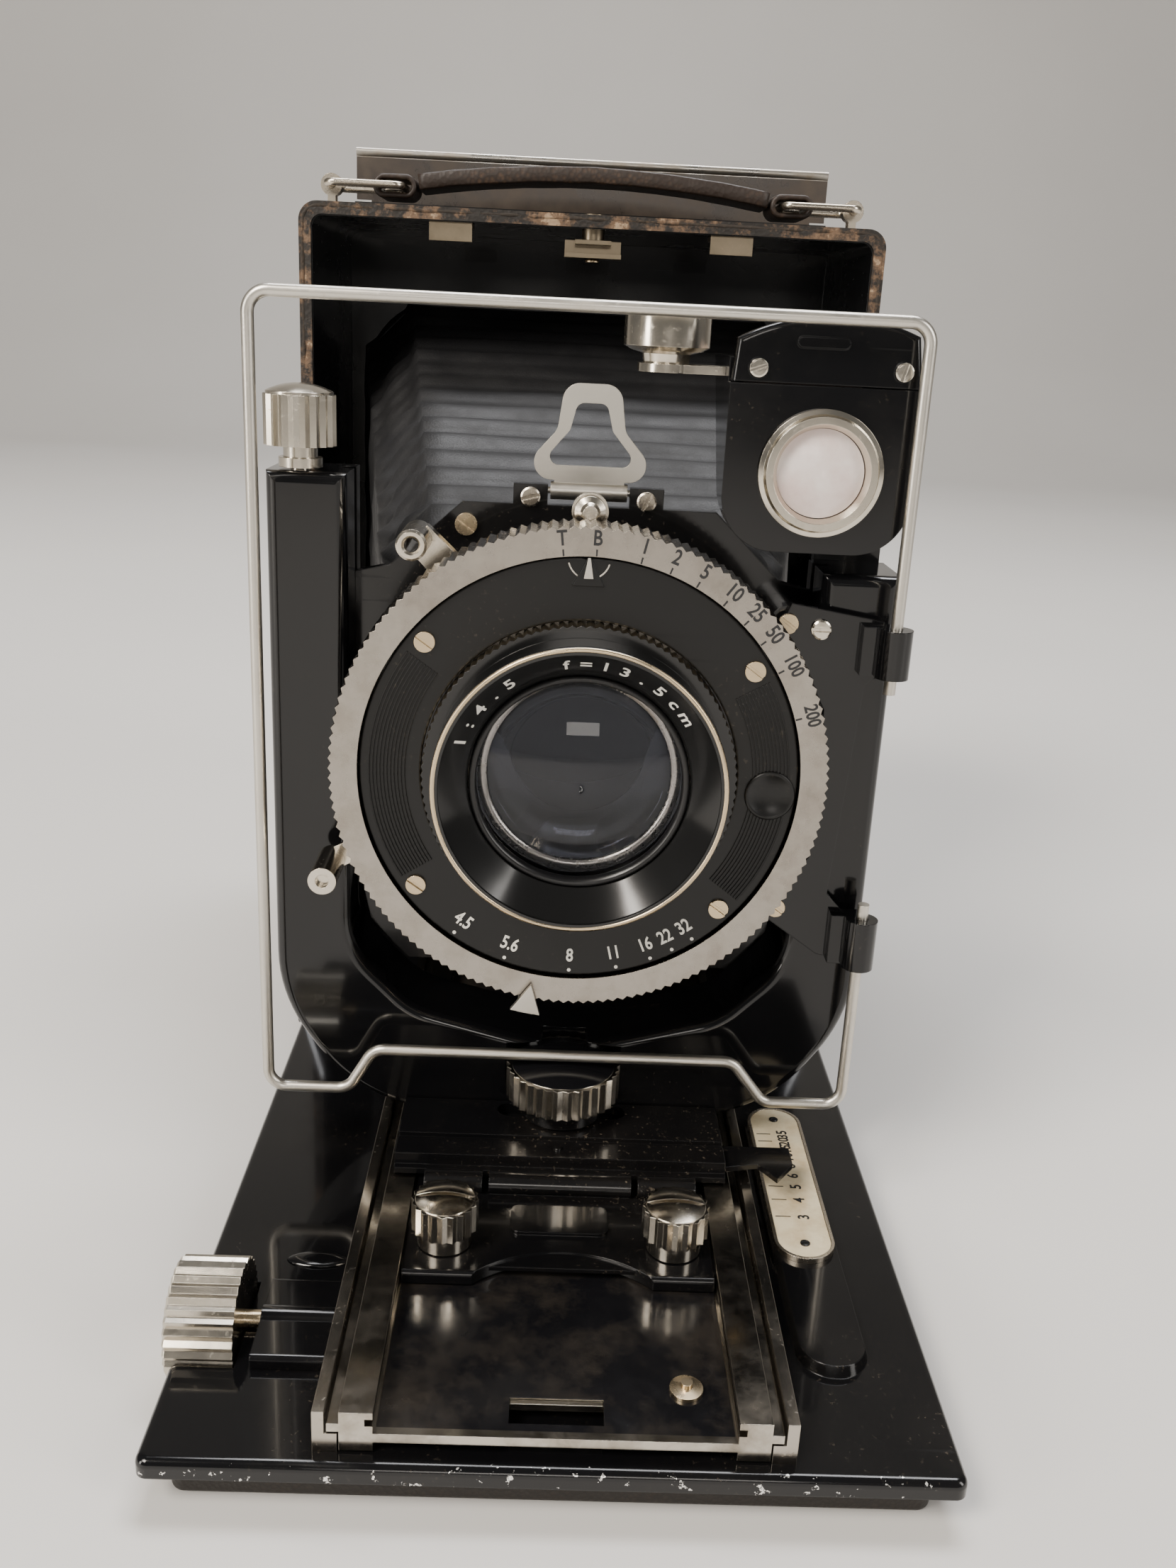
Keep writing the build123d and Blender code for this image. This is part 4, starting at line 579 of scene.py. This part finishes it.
# plain round boss where the ribs on the right are interrupted
bx, _, bz = radial(27.3, -3.4, PLATE_FACE)
turned("face_boss", [(0.0, 3.6), (-0.30, 3.6), (-0.42, 3.4), (-0.42, 3.1), (-0.30, 3.0), (-0.30, 0.02)],
       (bx, PLATE_FACE, bz), "y", FACE_BLACK, "lens_panel", steps=40)

# index over the speeds
INDEX_FACE = -98.05
index = Lettering()
index.slab([radial(r, a, INDEX_FACE) for r, a in ((28.3, 91.3), (28.3, 88.7), (31.1, 89.7), (31.1, 90.3))],
           (0, -0.25, 0))
for k in range(14):
    a0, a1 = (math.radians(195 + 150 * (k + d) / 14) for d in (0, 1))
    corners = [(r * math.cos(a), PLATE_FACE, LENS_Z + 31.0 + r * math.sin(a))
               for r, a in ((2.75, a0), (2.95, a0), (2.95, a1), (2.75, a1))]
    index.slab(corners, (0, -0.12, 0))
index.done("speed_index", NICKEL_SATIN, "lens_panel", "nickel")


# ---------------------------------------------------------------- lens
def bevel_figures(text, start, step, size):
    """White figures on the sloping ring round the front glass."""
    group = Lettering()
    slope = Matrix.Rotation(math.radians(47), 4, "X")
    for k, letter in enumerate(text):
        if letter == " ":
            continue
        angle = start - step * k
        x, _, z = radial(17.55, angle, 0)
        spin = Matrix.Rotation(-math.radians(angle - 90), 4, "Y")
        upright = Matrix.Rotation(math.radians(90), 4, "X")
        place = Matrix.Translation((x * MM, -103.0 * MM, z * MM)) @ spin @ upright @ slope
        group.figure(letter, size, place, thick=0.03)
    return group


bevel_figures("1:4.5  f=13.5cm", 160.0, 8.8, 3.1).done("lens_figures", WHITE_INK, "lens_panel", "ivory")

turned("glass_retaining_ring", [(-99.2, 15.45), (-100.9, 15.45), (-101.15, 15.2), (-101.15, 14.6),
                                (-99.4, 14.4), (-99.2, 14.4)],
       (0, 0, LENS_Z), "y", BLACK_SATIN, "lens_panel", ring=True)
turned("barrel_front_edge", [(-104.9, 19.75), (-105.45, 19.75), (-105.62, 19.95), (-105.62, 20.2),
                             (-105.45, 20.42), (-104.9, 20.42)],
       (0, 0, LENS_Z), "y", BRASSY, "lens_panel", steps=96, ring=True)
turned("inner_glass", [(-90.0, 0.02), (-90.1, 4.0), (-90.5, 8.0), (-91.2, 11.5), (-91.9, 13.7),
                       (-93.0, 13.7), (-92.2, 9.0), (-91.8, 4.0), (-91.7, 0.02)],
       (0, 0, LENS_Z), "y", LENS_GLASS, "lens_panel")
turned("inner_bright_ring", [(-94.6, 13.9), (-95.1, 13.9), (-95.1, 12.6), (-94.6, 12.4)],
       (0, 0, LENS_Z), "y", NICKEL_OLD, "lens_panel", ring=True)

# leaves of the iris, overlapping like a fan
leaves = Lettering()
LEAVES, OPEN_R = 10, 9.6
for k in range(LEAVES):
    a = 360.0 * k / LEAVES
    y = -84.35 - 0.02 * k
    corners = [radial(OPEN_R + 0.2, a, y), radial(13.6, a - 8, y), radial(13.7, a + 30, y),
               radial(13.6, a + 58, y), radial(OPEN_R, a + 52, y), radial(OPEN_R - 0.35, a + 26, y)]
    leaves.slab(corners, (0, -0.015, 0))
leaves.done("iris_leaves", BLACK_SATIN, "lens_panel", "satin_black")


# ---------------------------------------------------------------- bellows
# depth, half width, half height, corner cut and middle height of the sections it follows
BELLOWS_FRAME = ((49.5, 49.7, 64.0, 10.0, 80.65), (39.0, 47.5, 60.8, 9.6, 80.65),
                 (-69.1, 30.3, 29.1, 7.0, 80.7))


def bellows_size(y):
    """Section of the bellows at depth y, between the sections it follows."""
    for back, front in zip(BELLOWS_FRAME, BELLOWS_FRAME[1:]):
        if y >= front[0]:
            t = (back[0] - y) / (back[0] - front[0])
            return [a + (b - a) * t for a, b in zip(back[1:], front[1:])]
    return list(BELLOWS_FRAME[-1][1:])


def bellows_ring(y, fold, inset, hold):
    """One ring; fold moves the walls out or in, hold (0 to 1) frees it from creases near its ends."""
    half_w, half_h, cut, centre_z = bellows_size(y)
    half_w, half_h = half_w - inset, half_h - inset
    corners = [(-half_w, -half_h + cut), (-half_w + cut, -half_h), (half_w - cut, -half_h),
               (half_w, -half_h + cut), (half_w, half_h - cut), (half_w - cut, half_h),
               (-half_w + cut, half_h), (-half_w, half_h - cut)]
    ring = []
    for i in range(8):
        a, b = corners[i], corners[(i + 1) % 8]
        corner_side, upright = i % 2 == 0, i in (3, 7)
        steps = 6 if corner_side else (34 if upright else 16)
        out = Vector((a[0] + b[0], a[1] + b[1])).normalized() if corner_side else (
            Vector((math.copysign(1, a[0]), 0)) if upright else Vector((0, math.copysign(1, a[1]))))
        for k in range(steps):
            t = k / steps
            x, z = a[0] + (b[0] - a[0]) * t, a[1] + (b[1] - a[1]) * t
            middle = math.sin(math.pi * t)
            if corner_side:
                push = fold * (1 - 1.9 * middle)
                slip = 0.0
            elif upright:
                crease = noise.noise(Vector((z * 0.10, y * 0.055, math.copysign(4.0, x))))
                fine = noise.noise(Vector((z * 0.30, y * 0.10, math.copysign(9.0, x))))
                push = fold * (1.25 + 0.7 * crease) + 0.55 * middle * hold * fine
                slip = 2.2 * middle * hold * crease
            else:
                crease = noise.noise(Vector((x * 0.045, y * 0.06, math.copysign(2.0, z))))
                push = fold * (0.62 + 0.5 * crease) + 0.12 * hold * crease
                slip = 0.7 * middle * hold * crease
            ring.append((x + out.x * push, y + slip, centre_z + z + out.y * push))
    return ring


def bellows_piece(name, y0, y1, pleats, amplitude):
    """Closed pleated tube: the outside forwards, then the inside back."""
    per = 6
    profile = (0.0, 0.75, 1.0, 0.75, 0.0, -1.0)
    count = per * pleats
    rings = []
    for inset, order in ((0.0, range(count + 1)), (1.0, range(count, -1, -1))):
        for k in order:
            t = k / count
            hold = min(1.0, 6 * t, 6 * (1 - t))
            fold = amplitude * profile[k % per] if 0 < k < count else 0.0
            rings.append(bellows_ring(y0 + (y1 - y0) * t, fold, inset, hold))
    verts, faces = loop_loft(rings)
    obj = piece(name, verts, faces, BELLOWS_LEATHER, None)
    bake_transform(obj)
    return obj


# each length spans the gap between two neighbouring bodies, riding on neither, and ends on the section the
# next one starts from
bellows_piece("bellows_reserve", 49.4, 46.4, 12, 0.7)
folds = bellows_piece("bellows_folds", 46.4, -58.0, 14, 0.95)
bellows_piece("bellows_neck", -58.0, -66.0, 1, 0.8)
bellows_piece("bellows_mouth", -66.0, -69.1, 1, 0.4)
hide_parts("bellows")


# ---------------------------------------------------------------- carrying strap
STRAP_Y, LINK_Z = 27.0, BED_Z + 158.3


def band_section(half, thick, crown):
    """Cross-section of a strap as (across, up) pairs, with rounded edges."""
    points = []
    bend = min(0.6, thick / 2)
    flat = thick / 2 - bend
    for k in range(9):
        a = math.pi * k / 8
        lift = math.copysign(flat, k - 4) if k != 4 else 0.0
        points.append((half - bend + bend * math.sin(a), lift - bend * math.cos(a)))
    for k in range(1, 6):
        t = k / 6
        points.append((half * (1 - 2 * t) * 0.86, thick / 2 + crown * math.sin(math.pi * t)))
    for k in range(9):
        a = math.pi * k / 8
        lift = math.copysign(flat, 4 - k) if k != 4 else 0.0
        points.append((-half + bend - bend * math.sin(a), lift + bend * math.cos(a)))
    for k in range(1, 6):
        t = k / 6
        points.append((half * (2 * t - 1) * 0.86, -thick / 2 - 0.2 * crown * math.sin(math.pi * t)))
    return points


def swept_band(name, path, half, thick, crown, closed, seed, finish, rough_edge=0.12):
    """Leather band along a path of (x, z) points, with a slightly uneven surface."""
    rings = []
    for i, (x, z) in enumerate(path):
        before = path[i - 1] if i or closed else path[i]
        after = path[(i + 1) % len(path)] if i < len(path) - 1 or closed else path[i]
        dx, dz = after[0] - before[0], after[1] - before[1]
        length = math.hypot(dx, dz) or 1.0
        nx, nz = -dz / length, dx / length
        ring = []
        for across, up in band_section(half, thick, crown):
            wobble = noise.noise(Vector((x * 0.22 + seed, across * 0.45, z * 0.22))) * rough_edge
            frayed = 1 if abs(across) > half * 0.8 else 0
            edge = noise.noise(Vector((x * 0.35, seed, across))) * rough_edge * frayed
            ring.append((x + nx * (up + wobble), STRAP_Y + across + edge, z + nz * (up + wobble)))
        rings.append(ring)
    verts, faces = loop_loft(rings) if closed else loft(rings, caps=True)
    return piece(name, verts, faces, finish, "strap")


arch = []
for k in range(49):
    x = -35.6 + 71.2 * k / 48
    rise = 3.0 * (1 - (x / 36.0) ** 2)
    arch.append((x, BED_Z + 159.15 + rise))
strap = swept_band("strap_band", arch, 6.45, 3.1, 0.3, False, 3.0, STRAP_LEATHER)
for s, side in ((-1, "left"), (1, "right")):
    loop = []
    for k in range(40):
        a = 2 * math.pi * k / 40
        x = 40.5 + (2.15 if math.cos(a) > 0 else -2.15) + 1.75 * math.cos(a)
        if abs(math.cos(a)) < 0.12:
            x = 40.5 + 2.15 * math.cos(a) / 0.12
        loop.append((s * x, LINK_Z + 1.78 * math.sin(a)))
    swept_band(f"strap_loop_{side}", loop[::s], 6.45, 1.05, 0.0, True, 11.0 + s, STRAP_LEATHER)
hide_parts("handle_strap")


# ---------------------------------------------------------------- worn leather edge round the front rim
RIM_LEATHER = leather("rim_leather_worn", (0.024, 0.018, 0.013), (0.12, 0.078, 0.046), grain=1200, rough=0.75,
                      rim=("Y", 0.002, -0.0012), depth=0.0002, wear=1.0)


def rim_edge():
    """Frayed edge where the leather turns over the body's front rim."""
    half_w, low, high, corner = 55.9, 0.35, 160.95, 3.4
    sides = 8
    centre_line = []

    def arc(cx, cz, start):
        for k in range(7):
            a = math.radians(start + 90 * k / 6)
            centre_line.append((cx + corner * math.cos(a), cz + corner * math.sin(a)))

    def run(a, b, steps):
        for k in range(1, steps):
            t = k / steps
            centre_line.append((a[0] + (b[0] - a[0]) * t, a[1] + (b[1] - a[1]) * t))

    arc(half_w - corner, high - corner, 0)
    run((half_w - corner, high), (-half_w + corner, high), 110)
    arc(-half_w + corner, high - corner, 90)
    run((-half_w, high - corner), (-half_w, low + corner), 150)
    arc(-half_w + corner, low + corner, 180)
    run((-half_w + corner, low), (half_w - corner, low), 110)
    arc(half_w - corner, low + corner, 270)
    run((half_w, low + corner), (half_w, high - corner), 150)
    rings = []
    for i, (x, z) in enumerate(centre_line):
        px, pz = centre_line[i - 1]
        nx_, nz_ = centre_line[(i + 1) % len(centre_line)]
        dx, dz = nx_ - px, nz_ - pz
        length = math.hypot(dx, dz)
        ox, oz = dz / length, -dx / length
        if ox * x + oz * (z - 80) < 0:
            ox, oz = -ox, -oz
        swell = 0.55 + 0.22 * noise.noise(Vector((x * 0.30, z * 0.30, 2.0))) + 0.12 * noise.noise(
            Vector((x * 1.1, z * 1.1, 5.0)))
        shift = 0.18 * noise.noise(Vector((x * 0.6, 3.0, z * 0.6)))
        ring = []
        for k in range(sides):
            a = 2 * math.pi * k / sides
            out = -0.45 + swell * math.cos(a) * 0.75
            ring.append((x + ox * out, -0.28 + shift + 0.62 * swell * math.sin(a) * 1.3, z + oz * out))
        rings.append(ring)
    verts, faces = loop_loft(rings)
    return piece("rim_leather", verts, faces, RIM_LEATHER, "camera_body")


rim_edge()


# ---------------------------------------------------------------- small fittings
def screw(name, x, y, z, radius, height, axis, finish, body, turn=30.0):
    """Slotted domed screw head standing on a face; axis is the way it looks: '-y' or '+z'."""
    bm = bmesh.new()
    steps = 28
    slot_half = radius * 0.17
    a = math.radians(turn)
    rows = [(0.0, radius), (height * 0.75, radius), (height, radius * 0.82), (height * 1.05, radius * 0.4)]
    rings = []
    for up, r in rows:
        ring = []
        for k in range(steps):
            b = 2 * math.pi * k / steps
            ring.append(bm.verts.new((r * math.cos(b), r * math.sin(b), up)))
        rings.append(ring)
    for lower, upper in zip(rings, rings[1:]):
        for k in range(steps):
            bm.faces.new((lower[k], lower[(k + 1) % steps], upper[(k + 1) % steps], upper[k]))
    bm.faces.new(rings[-1])
    bm.faces.new(rings[0][::-1])
    mesh = bpy.data.meshes.new(name)
    bm.to_mesh(mesh)
    bm.free()
    obj = bpy.data.objects.new(name, mesh)
    bpy.context.collection.objects.link(obj)
    cutter_mesh = bpy.data.meshes.new(name + "_slot")
    box = bmesh.new()
    bmesh.ops.create_cube(box, size=1.0)
    box.to_mesh(cutter_mesh)
    box.free()
    blade = Matrix.Diagonal((radius * 2.4, slot_half * 2, height * 0.9, 1))
    cutter_mesh.transform(Matrix.Rotation(a, 4, "Z") @ blade)
    cutter_mesh.transform(Matrix.Translation((0, 0, height)))
    cutter = bpy.data.objects.new(name + "_slot", cutter_mesh)
    bpy.context.collection.objects.link(cutter)
    cut = obj.modifiers.new("slot", "BOOLEAN")
    cut.operation = "DIFFERENCE"
    cut.object = cutter
    bpy.context.view_layer.update()
    solved = obj.evaluated_get(bpy.context.evaluated_depsgraph_get())
    final = bpy.data.meshes.new_from_object(solved)
    obj.modifiers.clear()
    obj.data = final
    bpy.data.objects.remove(cutter)
    facing = Matrix.Rotation(math.radians(90), 4, "X") if axis == "-y" else Matrix.Identity(4)
    final.transform(Matrix.Translation((x * MM, y * MM, z * MM)) @ facing @ Matrix.Scale(MM, 4))
    final.materials.clear()
    final.materials.append(finish)
    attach(obj, body)
    return obj


screw("cover_screw_left", 22.7, -82.45, BED_Z + 128.9, 1.3, 0.32, "-y", NICKEL_BRIGHT, "finder", 20)
screw("cover_screw_right", 43.2, -82.45, BED_Z + 129.2, 1.3, 0.32, "-y", NICKEL_BRIGHT, "finder", 75)
screw("bracket_rivet", 35.1, -82.6, BED_Z + 92.3, 1.5, 0.7, "-y", NICKEL_BRIGHT, "lens_panel", 0)
for k, x in enumerate((-8.8, 8.8)):
    screw(f"pull_rivet_{k + 1}", x, -71.5, BED_Z + 108.4, 1.5, 0.6, "-y", NICKEL_OLD, "lens_panel",
          15 + 50 * k)
SCALE_X, SCALE_FACE = 37.6, BED_Z + 2.41
for k, y in enumerate((-106.6, -72.2)):
    screw(f"scale_screw_{k + 1}", SCALE_X, y, BED_Z + 2.4, 0.75, 0.22, "+z", BLACK_SATIN, "camera_body",
          40 * k)

scale = Lettering()
flat = Matrix.Rotation(math.radians(90), 4, "Z")
for text, y in (("3", -100.0), ("4", -95.6), ("5", -92.0), ("6", -89.0), ("8", -86.2), ("10", -83.6),
                ("15", -81.2), ("20", -79.0), ("35", -76.8)):
    place = Matrix.Translation(((SCALE_X + 0.9) * MM, y * MM, (BED_Z + 2.42) * MM)) @ flat
    scale.figure(text, 2.5, place, thick=0.02)
    scale.slab([(SCALE_X - 3.6, y - 0.09, SCALE_FACE), (SCALE_X - 1.2, y - 0.09, SCALE_FACE),
                (SCALE_X - 1.2, y + 0.09, SCALE_FACE), (SCALE_X - 3.6, y + 0.09, SCALE_FACE)], (0, 0, 0.03))
scale.done("distance_figures", BLACK_INK, "camera_body", "satin_black")

# pressed oval on the bed beside the focusing shaft
turned("bed_oval", [(0.0, 2.2), (0.25, 2.1), (0.45, 1.7), (0.50, 1.0), (0.50, 0.02)], (0, 0, 0), "z",
       BLACK, "camera_body", steps=40)
bpy.data.objects["bed_oval"].data.transform(
    Matrix.Translation((-35.5 * MM, -111.0 * MM, BED_Z * MM)) @ Matrix.Diagonal((2.1, 0.85, 1, 1)))

# bright lip at the back of the carriage's slot
slot_lip = Lettering()
slot_lip.slab([(-5.9, -141.4, BED_Z + 1.62), (5.9, -141.4, BED_Z + 1.62), (5.9, -140.7, BED_Z + 1.62),
               (-5.9, -140.7, BED_Z + 1.62)], (0, 0, 1.0))
slot_lip.done("slot_lip", NICKEL_BRIGHT, "carriage", "nickel")

# catch rivet under the latch
turned("latch_rivet", [(0.0, 1.5), (0.5, 1.3), (0.7, 0.6), (0.72, 0.02)], (0, 5.5, BED_Z + 145.0), "z",
       BRASSY, "latch", steps=24)


# ---------------------------------------------------------------- stage, light and camera
def backdrop():
    """Pale floor running up into a wall."""
    rings = []
    profile = [(-3000, 0)]
    for k in range(13):
        a = math.radians(90 * k / 12)
        profile.append((1200 + 600 * math.sin(a), 600 - 600 * math.cos(a)))
    profile.append((1800, 4000))
    for y, z in profile:
        rings.append([(-4000, y, z), (4000, y, z)])
    verts, faces = loft(rings, closed=False)
    floor_finish = Finish("pale_floor", (0.66, 0.645, 0.62), 0.55)
    tone = floor_finish.band(floor_finish.noise(3.0, 4, 0.5), 0.3, 0.8)
    floor_finish.color(floor_finish.blend(tone, (0.67, 0.655, 0.63), (0.62, 0.60, 0.575)))
    obj = piece("floor", verts, faces, floor_finish.mat, None)


backdrop()


def area_light(name, place, target, size, power, color):
    data = bpy.data.lights.new(name, "AREA")
    data.shape = "RECTANGLE"
    data.size, data.size_y = size
    data.energy = power
    data.color = color
    obj = bpy.data.objects.new(name, data)
    obj.location = place
    obj.rotation_euler = (Vector(target) - Vector(place)).to_track_quat("-Z", "Y").to_euler()
    bpy.context.collection.objects.link(obj)


area_light("key", (-0.75, -0.85, 1.15), (0, -0.03, 0.07), (0.55, 0.55), 30, (1.0, 0.93, 0.84))
area_light("fill", (1.05, -0.70, 0.65), (0, -0.05, 0.07), (0.35, 0.9), 9, (1.0, 0.96, 0.91))
area_light("top", (0.1, 0.35, 1.35), (0, -0.03, 0.07), (0.9, 0.45), 20, (0.98, 0.98, 1.0))
area_light("left_low", (-1.1, -0.75, 0.35), (0, 0.0, 0.09), (0.25, 0.6), 7, (1.0, 0.95, 0.88))
area_light("front_low", (0.05, -1.6, 0.5), (0, -0.05, 0.08), (0.5, 0.2), 3, (1.0, 0.94, 0.87))

world = bpy.data.worlds.new("studio")
bpy.context.scene.world = world
world.use_nodes = True
world.node_tree.nodes["Background"].inputs["Color"].default_value = (0.80, 0.79, 0.77, 1)
world.node_tree.nodes["Background"].inputs["Strength"].default_value = 0.17

SENSOR_WIDTH = 36.0
FOCAL_TO_WIDTH = 1947.9 / 1659     # focal length as a share of the picture's width
CAMERA_PLACE = (-0.00407, -0.2835, 0.1415)
YAW, PITCH, ROLL = math.radians(1.66), math.radians(18.39), math.radians(2.87)
forward = Vector((math.sin(YAW) * math.cos(PITCH), math.cos(YAW) * math.cos(PITCH), -math.sin(PITCH)))
level = Vector((math.cos(YAW), -math.sin(YAW), 0.0))
above = level.cross(forward)
right = math.cos(ROLL) * level + math.sin(ROLL) * above
up = -math.sin(ROLL) * level + math.cos(ROLL) * above
camera_data = bpy.data.cameras.new("camera")
camera_data.sensor_fit = "HORIZONTAL"
camera_data.sensor_width = SENSOR_WIDTH
camera_data.lens = FOCAL_TO_WIDTH * SENSOR_WIDTH
camera_data.clip_start = 0.01
camera = bpy.data.objects.new("camera", camera_data)
turn = Matrix((right, up, -forward)).transposed().to_4x4()
camera.matrix_world = Matrix.Translation(CAMERA_PLACE) @ turn
bpy.context.collection.objects.link(camera)
bpy.context.scene.camera = camera
